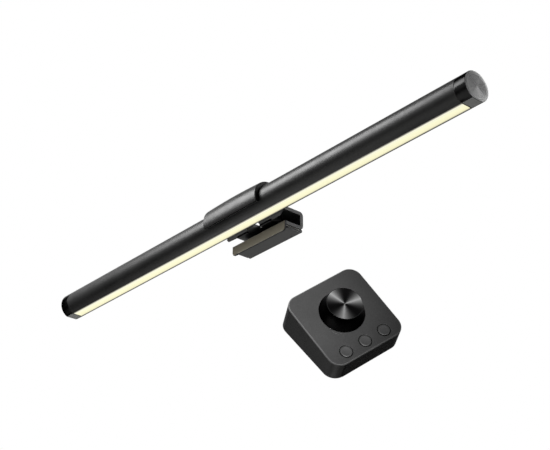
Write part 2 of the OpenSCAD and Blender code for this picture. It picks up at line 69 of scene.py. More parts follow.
# The flap's hinge, in millimetres
LUG_WIDTH = 10
KNUCKLE_GAP = 0.3  # room beside and round a knuckle
PIN_RADIUS = 0.6


# ---- Places, taken from the frame ----


def joint(name):
    """The record's joint of that name."""
    return next(j for j in frame["joints"] if j["name"] == name)


def middle(name):
    """Centre of a node's box."""
    low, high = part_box(name)
    return (low + high) / 2


def span(name, axis):
    """Length of a node's box along one axis."""
    low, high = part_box(name)
    return high[axis] - low[axis]


TUBE_LOW, TUBE_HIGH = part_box("tube_housing")
TUBE_R = (TUBE_HIGH.y - TUBE_LOW.y) / 2
BAR_AXIS = Vector((0, (TUBE_LOW.y + TUBE_HIGH.y) / 2, TUBE_HIGH.z - TUBE_R))
FACET_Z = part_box("diffuser")[0].z - BAR_AXIS.z


def bar_box(node):
    """Corners of a node's box, in millimetres from the bar's axis."""
    return [(corner - BAR_AXIS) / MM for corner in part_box(node)]


def controller_matrix(dial_back, case_height):
    """The controller's own frame, Z along the dial's axis, from that axis and the row of buttons."""
    turn = joint("dial_turn")
    up = Vector(turn["axis"]).normalized()
    right = middle("button_right") - middle("button_left")
    right = (right - up * right.dot(up)).normalized()
    back = up.cross(right)
    origin = Vector(turn["pos_m"]) - back * dial_back - up * case_height
    made = Matrix((right, back, up)).transposed().to_4x4()
    made.translation = origin
    return made


# ---- Sizes and colours ----


def hex_colour(code):
    """Turns an sRGB hex colour to linear RGB."""
    parts = [int(code[i : i + 2], 16) / 255 for i in (1, 3, 5)]
    return tuple(c / 12.92 if c <= 0.04045 else ((c + 0.055) / 1.055) ** 2.4 for c in parts)


def length_prop(name, description, default):
    """A length in metres."""
    return FloatProperty(
        name=name, description=description, default=default, min=0, unit="LENGTH", precision=5
    )


def angle_prop(name, description, degrees):
    """An angle, given in degrees and kept in radians."""
    return FloatProperty(name=name, description=description, default=math.radians(degrees), subtype="ANGLE")


def colour_prop(name, description, code):
    """A colour, given as an sRGB hex code."""
    return FloatVectorProperty(
        name=name, description=description, default=hex_colour(code), size=3, min=0, max=1, subtype="COLOR"
    )


class BarSizes(bpy.types.PropertyGroup):
    """Sizes of the bar."""

    tube_length: length_prop("Tube length", "Length of the tube between the caps", span("tube_housing", 0))
    tube_wall: length_prop("Tube wall", "Wall thickness of the tube", 0.0015)
    face_width: length_prop("Light width", "Width of the lit strip", 0.0098)
    cap_length: length_prop("Cap length", "Length of each end cap", 0.0105)
    disc_radius: length_prop("Disc radius", "Radius of each turned disc", span("end_disc_right", 1) / 2)
    disc_proud: length_prop("Disc stands proud", "How far the disc stands out of its cap", 0.00015)
    edge: length_prop("Edge round", "Rounding along the tube's slot and ends", 0.0002)


class CradleSizes(bpy.types.PropertyGroup):
    """Sizes of the cradle."""

    length: length_prop("Length", "Length of the cradle along the bar", span("cradle_shell", 0))
    inner_radius: length_prop("Inner radius", "Radius of the shell's bore", 0.01286)
    wall: length_prop("Wall", "Wall thickness at the shell's ends", 0.0025)
    crown: length_prop("Crown", "Extra thickness halfway along", 0.0007)
    front_wrap: angle_prop("Front wrap", "How far the shell reaches below the axis in front", 23)
    rear_wrap: angle_prop("Rear wrap", "How far the shell reaches below the axis behind", 38)


class ClipSizes(bpy.types.PropertyGroup):
    """Sizes of the monitor clip, measured from the bar's axis."""

    width: length_prop("Width", "Width of the bracket", span("bracket", 0))
    plate: length_prop("Plate", "Thickness of the bracket's plate", 0.003)
    rise: length_prop("Rise", "Height of the bar's axis above the seat", 0.0158)
    reach: length_prop("Reach", "Distance of the bar's axis before the monitor's face", 0.0186)
    depth: length_prop("Seat depth", "Depth of the seat behind the monitor's face", 0.017)
    arm_start: length_prop("Arm start", "Where the arm starts behind the bar's axis", 0.01636)
    notch: length_prop("Notch", "Half the width of the open notch between the feet", 0.0076)
    foot_width: length_prop("Foot width", "Width of each cradle foot", 0.0135)


class ControllerSizes(bpy.types.PropertyGroup):
    """Sizes of the desk controller, in its own frame."""

    width: length_prop("Width", "Width and depth of the case", 0.06)
    height: length_prop("Height", "Height of the case's top above its middle", 0.02239)
    foot: length_prop("Foot", "Height of the rubber feet", 0.0008)
    corner: length_prop("Corner", "Radius of the upright corners", 0.009)
    edge: length_prop("Top edge", "Rounding of the top edge", 0.0008)
    dial_back: length_prop("Dial offset", "Distance of the dial behind the middle", 0.0035)
    dial_foot: length_prop("Dial foot radius", "Radius of the dial at its foot", 0.0159)
    dial_top: length_prop("Dial top radius", "Radius of the dial's top", 0.0124)
    dial_height: length_prop("Dial height", "Height of the dial above the case", 0.0109)
    button_radius: length_prop("Button radius", "Radius of each button", 0.00425)
    button_pitch: length_prop("Button pitch", "Distance between the buttons", 0.016)
    button_front: length_prop("Button offset", "Distance of the buttons before the middle", 0.0223)
    button_proud: length_prop("Button stands proud", "Height of the buttons above the case", 0.0003)


class Finishes(bpy.types.PropertyGroup):
    """Colours of the finishes."""

    tube: colour_prop("Tube", "Black anodised aluminium of the tube", "#262626")
    cap: colour_prop("Cap", "Black chrome of the end caps", "#1a1a1a")
    facet: colour_prop("Facet", "Satin flat under each end cap", "#6b6c6a")
    clip: colour_prop("Clip", "Black powder coat of the clip", "#262626")
    lip: colour_prop("Lip", "Warm grey paint of the front lip", "#a09a8f")
    # Pale, so that the pad's end also shows as a painted highlight along the seat
    silicone: colour_prop("Silicone", "Clear silicone of the seat's pad", "#dcdad4")
    rubber: colour_prop("Rubber", "Dark rubber of pads and feet", "#2b2b2d")
    case: colour_prop("Case", "Fine-grained black plastic of the controller", "#2f2f2f")
    # The top edge's rounding in a lighter grey than the case: a painted highlight along the edge
    case_edge_highlight: colour_prop("Case edge", "The case's top edge, polished by hands", "#4c4c4c")
    key: colour_prop("Key", "Satin plastic of the buttons", "#363636")
    dial: colour_prop("Dial", "Polished black lacquer on the dial's side", "#0b0b0b")
    # The brightest tone of the painted fans of reflected light on the dial's top
    dial_top: colour_prop("Dial top", "Spun metal on the dial's top", "#686868")
    light_strength: FloatProperty(
        name="Light strength", description="Strength of the lit strip", default=0.9, min=0
    )


class LightBarSettings(bpy.types.PropertyGroup):
    """Everything that a user would change."""

    bar: PointerProperty(type=BarSizes)
    cradle: PointerProperty(type=CradleSizes)
    clip: PointerProperty(type=ClipSizes)
    controller: PointerProperty(type=ControllerSizes)
    finishes: PointerProperty(type=Finishes)


def in_mm(group):
    """A size group's values in millimetres, angles left as they are."""
    made = {}
    for name in group.__annotations__:
        is_length = group.bl_rna.properties[name].unit == "LENGTH"
        made[name] = getattr(group, name) / (MM if is_length else 1)
    return made


def bar_place():
    """Millimetres from the bar's axis to the frame."""
    return Matrix.Translation(BAR_AXIS) @ Matrix.Scale(MM, 4)


def controller_place(context):
    """Millimetres in the controller's own frame to the frame."""
    sizes = context.scene.light_bar.controller
    return controller_matrix(sizes.dial_back, sizes.height) @ Matrix.Scale(MM, 4)


# ---- Nodes and materials ----


def add_node(tree, kind, inputs=(), **settings):
    """Adds a node, sets its settings, and sets or links its inputs."""
    made = tree.nodes.new(kind)
    for key, value in settings.items():
        setattr(made, key, value)
    for key, value in dict(inputs).items():
        if isinstance(value, bpy.types.NodeSocket):
            tree.links.new(value, made.inputs[key])
        elif isinstance(value, bpy.types.Node):
            tree.links.new(value.outputs[0], made.inputs[key])
        else:
            made.inputs[key].default_value = value
    return made


def rgba(colour, share=1):
    """A colour times a share, with full alpha."""
    return (*(c * share for c in colour), 1)


def start_material(name):
    """An empty material, made new each time."""
    made = bpy.data.materials.new(name)
    made.use_nodes = True
    made.node_tree.nodes.clear()
    return made, made.node_tree


def object_coordinates(tree, place=None):
    """Object coordinates in metres, or in the frame of a place where one is given."""
    found = add_node(tree, "ShaderNodeTexCoord").outputs["Object"]
    if place is None:
        return found
    moved, turned, _ = place.decompose()
    mapping = add_node(tree, "ShaderNodeMapping", {"Vector": found}, vector_type="TEXTURE")
    mapping.inputs["Location"].default_value = moved
    mapping.inputs["Rotation"].default_value = turned.to_euler()
    return mapping.outputs[0]


def speckle(tree, where, grain, detail=3.0):
    """Noise whose blobs are one grain across, in metres."""
    return add_node(
        tree, "ShaderNodeTexNoise", {"Vector": where, "Scale": 1 / grain, "Detail": detail, "Roughness": 0.6}
    ).outputs[0]


def spread(tree, value, low, high, start=0.3, end=0.7):
    """Maps a pattern's value onto a range."""
    return add_node(
        tree,
        "ShaderNodeMapRange",
        {"Value": value, "From Min": start, "From Max": end, "To Min": low, "To Max": high},
    ).outputs[0]


def shaded(tree, colour, factor, dark, light):
    """The colour times a share between dark and light, as the factor runs from 0 to 1."""
    mixed = add_node(tree, "ShaderNodeMix", {"Factor": factor}, data_type="RGBA")
    mixed.inputs[6].default_value = rgba(colour, dark)
    mixed.inputs[7].default_value = rgba(colour, light)
    return mixed.outputs[2]


def set_stops(ramp, wanted):
    """Gives a colour ramp its stops, each a place and an sRGB hex colour."""
    stops = ramp.color_ramp.elements
    for place, code in wanted:
        stops.new(place).color = rgba(hex_colour(code))
    stops.remove(stops[0])
    stops.remove(stops[-1])


def close_material(tree, made, colour, roughness, height=None, depth=0.0, strength=1.0, **fixed):
    """One Principled shader with its bump, and the output."""
    inputs = {"Base Color": colour, "Roughness": roughness}
    inputs.update({key.replace("_", " "): value for key, value in fixed.items()})
    shader = add_node(tree, "ShaderNodeBsdfPrincipled", inputs)
    if height is not None:
        bump = add_node(tree, "ShaderNodeBump", {"Height": height, "Distance": depth, "Strength": strength})
        tree.links.new(bump.outputs[0], shader.inputs["Normal"])
    add_node(tree, "ShaderNodeOutputMaterial", {"Surface": shader.outputs[0]})
    return made


def finish_of(context, name):
    """A finish's colour, from the settings."""
    return tuple(getattr(context.scene.light_bar.finishes, name))


def grained(name, colour, grain, depth, roughness, place=None, metallic=0.0, tint=1.0, **fixed):
    """A surface with a fine even grain, sizes in metres: plastic, powder coat, blasted metal or rubber.

    The grain is drawn a few times coarser than the real one, which is too fine to show.
    """
    made, tree = start_material(name)
    where = object_coordinates(tree, place)
    fine = speckle(tree, where, grain)
    broad = speckle(tree, where, grain * 40, 2.0)
    tone = shaded(tree, colour, spread(tree, fine, 0, 1), 0.86, 1.14)
    rough = spread(tree, broad, roughness - 0.04, roughness + 0.04)
    return close_material(
        tree, made, tone, rough, fine, depth, 1.0, Metallic=metallic, Specular_Tint=rgba((tint,) * 3), **fixed
    )


def anodised(context, name, roughness):
    """Blasted and anodised aluminium: a soft glare with dark flanks."""
    return grained(name, finish_of(context, "tube"), 0.0004, 0.000004, roughness, metallic=1.0, tint=0.6)


def satin_abs(context, finish, name, grain, depth, roughness, metallic=0.5, tint=0.35):
    """Black moulded plastic in the controller's own frame, without a pale sheen at a low angle."""
    place = controller_place(context).normalized()
    return grained(
        name, finish_of(context, finish), grain, depth, roughness, place, metallic, tint,
        Specular_IOR_Level=0.0,
    )


def powder_coat(context, name, grain, roughness):
    """Sprayed and baked black powder: a satin skin, slightly pebbled, without a strong glare."""
    return grained(name, finish_of(context, "clip"), grain, 0.00002, roughness, Specular_IOR_Level=0.25)


def rings(tree, across, along, pitch):
    """Waves round a middle, one pitch apart in metres, from -1 to 1."""
    flat = add_node(tree, "ShaderNodeCombineXYZ", {0: across, 1: along})
    away = add_node(tree, "ShaderNodeVectorMath", {0: flat}, operation="LENGTH").outputs["Value"]
    phase = add_node(tree, "ShaderNodeMath", {0: away, 1: math.tau / pitch}, operation="MULTIPLY")
    return add_node(tree, "ShaderNodeMath", {0: phase}, operation="SINE").outputs[0]


def dress(node, material):
    """Gives a CAD node its material."""
    for holder in frame["nodes"][node].material_slots:
        holder.material = material


# ---- Meshes ----


def add_face(bm, points):
    """One flat face through the points."""
    return bm.faces.new([bm.verts.new(p) for p in points])


def round_corner(bm, vert, radius, segments=8):
    """Rounds one corner of a flat face."""
    bmesh.ops.bevel(
        bm, geom=[vert], offset=radius, segments=segments, profile=0.5, affect="VERTICES", material=-1
    )


def round_edges(bm, edges, radius, segments=3):
    """Rounds edges, and stops where two rounds would meet."""
    bmesh.ops.bevel(
        bm, geom=edges, offset=radius, segments=segments, profile=0.5, affect="EDGES",
        clamp_overlap=True, material=-1,
    )


def unique(found):
    """Each of them once, in the order they come in."""
    return list(dict.fromkeys(found))


def verts_in(geom):
    """The vertices among a result's geometry."""
    return [v for v in geom if isinstance(v, bmesh.types.BMVert)]


def edges_in(geom):
    """The edges among a result's geometry."""
    return [e for e in geom if isinstance(e, bmesh.types.BMEdge)]


def extrude_all(bm, faces, move):
    """Extrudes faces into a closed solid."""
    grown = bmesh.ops.extrude_face_region(bm, geom=faces)
    bmesh.ops.translate(bm, verts=verts_in(grown["geom"]), vec=move)


def sweep(bm, geom, angle, steps, axis=(1, 0, 0), closed=False):
    """Spins geometry about an axis through the origin."""
    bmesh.ops.spin(
        bm, geom=geom, cent=(0, 0, 0), axis=axis, dvec=(0, 0, 0), angle=angle, steps=steps,
        use_merge=closed, use_duplicate=False,
    )


def turn_profile(bm, points, axis=(0, 0, 1), steps=ROUND_STEPS):
    """Spins an open line of points all the way round."""
    verts = [bm.verts.new(p) for p in points]
    edges = [bm.edges.new(pair) for pair in zip(verts, verts[1:])]
    sweep(bm, verts + edges, math.tau, steps, axis, closed=True)
    bmesh.ops.remove_doubles(bm, verts=bm.verts, dist=MERGE)


def pour(bm, other):
    """Adds another mesh in the making to this one, and frees it."""
    mesh = bpy.data.meshes.new("poured")
    other.to_mesh(mesh)
    other.free()
    bm.from_mesh(mesh)
    bpy.data.meshes.remove(mesh)


def shade(mesh):
    """Smooth shading, with the sharp edges left sharp."""
    for polygon in mesh.polygons:
        polygon.use_smooth = True
    mesh.set_sharp_from_angle(angle=SHARP_ANGLE)


def new_object(name, bm, place):
    """An object from a mesh drawn in millimetres, put in its place with its normals outwards."""
    bmesh.ops.recalc_face_normals(bm, faces=bm.faces)
    bm.transform(place)
    mesh = bpy.data.meshes.new(name)
    bm.to_mesh(mesh)
    bm.free()
    made = bpy.data.objects.new(name, mesh)
    bpy.context.scene.collection.objects.link(made)
    return made


def edges_at(bm, test):
    """Edges whose two ends both pass the test."""
    return [e for e in bm.edges if all(test(v.co) for v in e.verts)]


def make_piece(name, bm, place, material, body, slot, *nodes):
    """Closes a mesh drawn in millimetres and makes it a piece that rides on a body."""
    bmesh.ops.remove_doubles(bm, verts=bm.verts, dist=MERGE)
    made = new_object(name, bm, place)
    shade(made.data)
    for one in material if isinstance(material, tuple) else (material,):
        made.data.materials.append(one)
    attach(made, body)
    if nodes:
        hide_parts(*nodes)
    return made


def combine(piece, solids, operation="DIFFERENCE"):
    """Cuts solids drawn from the bar's axis out of a piece, or joins them to it."""
    tools = [new_object("tool", one, bar_place()) for one in solids]
    for one in tools:
        change = piece.modifiers.new("change", "BOOLEAN")
        change.operation = operation
        change.solver = "EXACT"
        change.object = one
    bpy.context.view_layer.update()
    seen = piece.evaluated_get(bpy.context.evaluated_depsgraph_get())
    mesh = bpy.data.meshes.new_from_object(seen)
    piece.modifiers.clear()
    old = piece.data
    piece.data = mesh
    bpy.data.meshes.remove(old)
    mesh.name = piece.name
    for one in tools:
        bpy.data.objects.remove(one)
    shade(mesh)


def soften(piece, radius, segments=3):
    """Rounds every sharp edge of a piece and keeps its flat faces flat."""
    bevel = piece.modifiers.new("rounding", "BEVEL")
    bevel.width = radius * MM
    bevel.segments = segments
    bevel.limit_method = "ANGLE"
    bevel.angle_limit = SHARP_ANGLE
    even_out(piece)


def even_out(piece):
    """Lets the large faces of a piece keep their flat shading."""
    piece.modifiers.new("even shading", "WEIGHTED_NORMAL").keep_sharp = True


def block(low, high):
    """A box from its lowest to its highest corner."""
    bm = bmesh.new()
    bmesh.ops.create_cube(bm, size=1)
    low, high = Vector(low), Vector(high)
    bmesh.ops.scale(bm, vec=high - low, verts=bm.verts)
    bmesh.ops.translate(bm, vec=(low + high) / 2, verts=bm.verts)
    return bm


def rod(radius, start, end, segments=64):
    """A round bar between two points."""
    bm = bmesh.new()
    start, end = Vector(start), Vector(end)
    way = end - start
    bmesh.ops.create_cone(
        bm, cap_ends=True, segments=segments, radius1=radius, radius2=radius, depth=way.length
    )
    turn = way.to_track_quat("Z", "Y").to_matrix().to_4x4()
    bm.transform(Matrix.Translation((start + end) / 2) @ turn)
    return bm


def clamp_hinge():
    """The flap's hinge, in millimetres from the bar's axis."""
    return (Vector(joint("clamp_swing")["pos_m"]) - BAR_AXIS) / MM


def hinge_rod(radius, half, segments=64):
    """A round bar along the flap's hinge, as long on both sides of the middle."""
    _, y, z = clamp_hinge()
    return rod(radius, (-half, y, z), (half, y, z), segments)


def around_x(radius, degrees, x=0):
    """A point at an angle about the X axis, from +Y towards +Z."""
    angle = math.radians(degrees)
    return Vector((x, radius * math.cos(angle), radius * math.sin(angle)))


# ---- Stage ----


class LIGHTBAR_OT_stage(bpy.types.Operator):
    """Adds the floor, the lamps, the world and the camera"""

    bl_idname = "light_bar.stage"
    bl_label = "Stage"

    # Camera: where it looks, from how far, and from which side
    target = Vector((0.0139, 0.0037, 0.0078))
    distance = 1.1078
    azimuth = math.radians(49.66)
    elevation = math.radians(-26.71)
    roll = math.radians(0.2)
    lens = 89.43

    floor_z = -1.1
    floor_half = 40.0
    floor_glow = 0.45

    # Area lamps: name, place, aim, direction of the width, width, height, power
    lamps = (
        ("key", (-1.28, -1.4, 1.34), (0, 0, 0), (0.89, -0.32, 0.31), 1.3, 1.3, 150.0),
        ("back", (0.6, 1.9, 1.1), (0.1, 0, -0.05), (1, -0.2, 0), 1.2, 1.2, 40.0),
        ("kicker", (-0.14, 0.09, -0.44), (0.137, -0.044, -0.137), (0.7, 0.2, -0.6), 0.16, 0.1, 0.35),
        ("strip", (-0.32, -0.07, -0.32), (0.137, -0.044, -0.137), (0.2, 1, 0.1), 0.2, 0.16, 0.3),
    )
    # Spot on the controller: place, aim, width of the beam, power, radius of the lamp
    spot = ((1.19, -0.631, 0.127), (0.1365, -0.0851, -0.1281), math.radians(7.7), 152.0, 0.03)

    def add_camera(self):
        back = Vector(
            (
                math.sin(self.azimuth) * math.cos(self.elevation),
                -math.cos(self.azimuth) * math.cos(self.elevation),
                math.sin(self.elevation),
            )
        )
        turn = back.to_track_quat("Z", "Y").to_matrix().to_4x4() @ Matrix.Rotation(self.roll, 4, "Z")
        data = bpy.data.cameras.new("camera")
        data.lens = self.lens
        data.sensor_width = 36
        data.clip_end = 20
        made = bpy.data.objects.new("camera", data)
        made.matrix_world = Matrix.Translation(self.target + back * self.distance) @ turn
        bpy.context.scene.collection.objects.link(made)
        bpy.context.scene.camera = made

    @staticmethod
    def seen_rays(tree):
        """One for camera, glossy and transmission rays, and none for diffuse ones."""
        path = add_node(tree, "ShaderNodeLightPath").outputs
        seen = path["Is Camera Ray"]
        for name in ("Is Glossy Ray", "Is Transmission Ray"):
            seen = add_node(tree, "ShaderNodeMath", {0: seen, 1: path[name]}, operation="MAXIMUM").outputs[0]
        return seen

    def add_world(self):
        world = bpy.data.worlds.new("studio")
        bpy.context.scene.world = world
        world.use_nodes = True
        tree = world.node_tree
        tree.nodes.clear()
        seen = self.seen_rays(tree)
        plain = add_node(tree, "ShaderNodeBackground", {"Color": (1, 1, 1, 1), "Strength": 0.22})
        white = add_node(tree, "ShaderNodeBackground", {"Color": (1, 1, 1, 1), "Strength": 1.0})
        mixed = add_node(tree, "ShaderNodeMixShader", {0: seen, 1: plain, 2: white})
        add_node(tree, "ShaderNodeOutputWorld", {"Surface": mixed})

    def add_floor(self):
        made, tree = start_material("pale_floor_paint")
        where = object_coordinates(tree)
        pale = shaded(tree, hex_colour("#ececea"), speckle(tree, where, 0.3), 0.98, 1.0)
        # Rays from the object's surfaces see it darker, so that it throws little light back up
        dim = rgba(hex_colour("#6a6a6a"))
        tone = add_node(
            tree, "ShaderNodeMix", {0: self.seen_rays(tree), 6: dim, 7: pale}, data_type="RGBA"
        ).outputs[2]
        # The camera alone sees the floor evenly pale away from the lamps
        seen = add_node(tree, "ShaderNodeLightPath").outputs["Is Camera Ray"]
        glow = add_node(tree, "ShaderNodeMath", {0: seen, 1: self.floor_glow}, operation="MULTIPLY")
        close_material(tree, made, tone, 0.8, Emission_Color=pale, Emission_Strength=glow)
        bm = bmesh.new()
        bmesh.ops.create_grid(bm, x_segments=4, y_segments=4, size=self.floor_half)
        bmesh.ops.translate(bm, verts=bm.verts, vec=(0, 0, self.floor_z))
        floor = new_object("floor", bm, Matrix())
        floor.data.materials.append(made)

    def add_lamp(self, data, place, aim, along=(1, 0, 0)):
        """Puts a lamp in its place, turned to its aim with its width along a direction."""
        back = (Vector(place) - Vector(aim)).normalized()
        wide = Vector(along)
        wide = (wide - back * wide.dot(back)).normalized()
        turn = Matrix((wide, back.cross(wide), back)).transposed().to_4x4()
        made = bpy.data.objects.new(data.name, data)
        made.matrix_world = Matrix.Translation(place) @ turn
        bpy.context.scene.collection.objects.link(made)

    def add_lamps(self):
        for name, place, aim, along, width, height, power in self.lamps:
            data = bpy.data.lights.new(name, "AREA")
            data.shape = "RECTANGLE"
            data.size, data.size_y = width, height
            data.energy = power
            self.add_lamp(data, place, aim, along)
        place, aim, beam, power, radius = self.spot
        data = bpy.data.lights.new("spot", "SPOT")
        data.spot_size, data.spot_blend = beam, 1.0
        data.shadow_soft_size = radius
        data.energy = power
        self.add_lamp(data, place, aim)

    def execute(self, context):
        context.scene.view_settings.view_transform = "Standard"
        self.add_camera()
        self.add_world()
        self.add_floor()
        self.add_lamps()
        return {"FINISHED"}


# ---- Bar ----


class LIGHTBAR_OT_tube(bpy.types.Operator):
    """Builds the anodised tube with its light slot and socket hole"""

    bl_idname = "light_bar.tube"
    bl_label = "Tube"

    socket_width = 9.3
    socket_height = 3.5

    def wall(self, bar):
        """The round wall with its open slot, from end to end."""
        radius, facet = TUBE_R / MM, FACET_Z / MM
        slot_half = math.sqrt(radius**2 - facet**2)
        half = bar["tube_length"] / 2
        bm = bmesh.new()
        chains = []
        for r in (radius, radius - bar["tube_wall"]):
            vert = bm.verts.new((-half, slot_half, -math.sqrt(r * r - slot_half**2)))
            before = set(bm.edges)
            sweep(bm, [vert], math.tau - 2 * math.asin(slot_half / r), ROUND_STEPS)
            chains += [e for e in bm.edges if e not in before]
        bmesh.ops.bridge_loops(bm, edges=chains)
        extrude_all(bm, list(bm.faces), (2 * half, 0, 0))
        bmesh.ops.recalc_face_normals(bm, faces=bm.faces)
        slot = edges_at(bm, lambda c: abs(abs(c.y) - slot_half) < NEAR and c.z < facet + NEAR)
        ends = edges_at(bm, lambda c: abs(abs(c.x) - half) < NEAR and c.yz.length > radius - NEAR)
        round_edges(bm, unique(slot + ends), bar["edge"])
        return bm

    def socket_hole(self):
        """A stadium through the rear wall, for the power socket."""
        low, high = bar_box("usb_c_socket")
        flat = (self.socket_width - self.socket_height) / 2
        hole = bmesh.new()
        bmesh.ops.create_circle(hole, cap_ends=False, segments=32, radius=self.socket_height / 2)
        for vert in hole.verts:
            if abs(vert.co.x) > NEAR:
                vert.co.x += math.copysign(flat, vert.co.x)
        bmesh.ops.contextual_create(hole, geom=hole.edges)
        extrude_all(hole, list(hole.faces), (0, 0, TUBE_R / MM))
        centre = (low + high) / 2
        centre.y = 0
        hole.transform(Matrix.Translation(centre) @ Matrix.Rotation(-math.pi / 2, 4, "X"))
        return hole

    def execute(self, context):
        bar = in_mm(context.scene.light_bar.bar)
        metal = anodised(context, "black_anodised_aluminium", 0.38)
        wall = self.wall(bar)
        tube = make_piece("tube_body", wall, bar_place(), metal, "bar", "anodised_black", "tube_housing")
        combine(tube, [self.socket_hole()])
        return {"FINISHED"}


class LIGHTBAR_OT_diffuser(bpy.types.Operator):
    """Builds the lit strip under the tube"""

    bl_idname = "light_bar.diffuser"
    bl_label = "Diffuser"

    # Colour of the light from the front edge of the strip to the rear edge
    light_stops = (
        (0.001, "#1c1b18"), (0.05, "#6b6a60"), (0.12, "#dddbc8"), (0.2, "#f7f5db"), (0.45, "#faf8cf"),
        (0.82, "#f4f0c4"), (0.9, "#c9c5a4"), (0.96, "#5c584a"), (0.999, "#1c1b18"),
    )
    unlit = "#6f6c62"

    def execute(self, context):
        bar = in_mm(context.scene.light_bar.bar)
        half, face, facet = bar["tube_length"] / 2, bar["face_width"] / 2, FACET_Z / MM
        bm = block((-half, -face, facet), (half, face, facet + span("diffuser", 2) / MM))
        made, tree = start_material("opal_polycarbonate_lit")
        # The light fades towards the metal on both sides and is warmer behind
        where = object_coordinates(tree)
        across = add_node(tree, "ShaderNodeSeparateXYZ", {0: where}).outputs["Y"]
        front = BAR_AXIS.y - face * MM
        warm = spread(tree, across, 0.0, 1.0, front, front + 2 * face * MM)
        ramp = add_node(tree, "ShaderNodeValToRGB", {0: warm})
        set_stops(ramp, self.light_stops)
        close_material(
            tree,
            made,
            rgba(hex_colour(self.unlit)),
            0.45,
            Emission_Color=ramp,
            Emission_Strength=context.scene.light_bar.finishes.light_strength,
        )
        piece = make_piece("light_diffuser", bm, bar_place(), made, "bar", "diffuser", "diffuser")
        soften(piece, 0.25, 2)
        return {"FINISHED"}


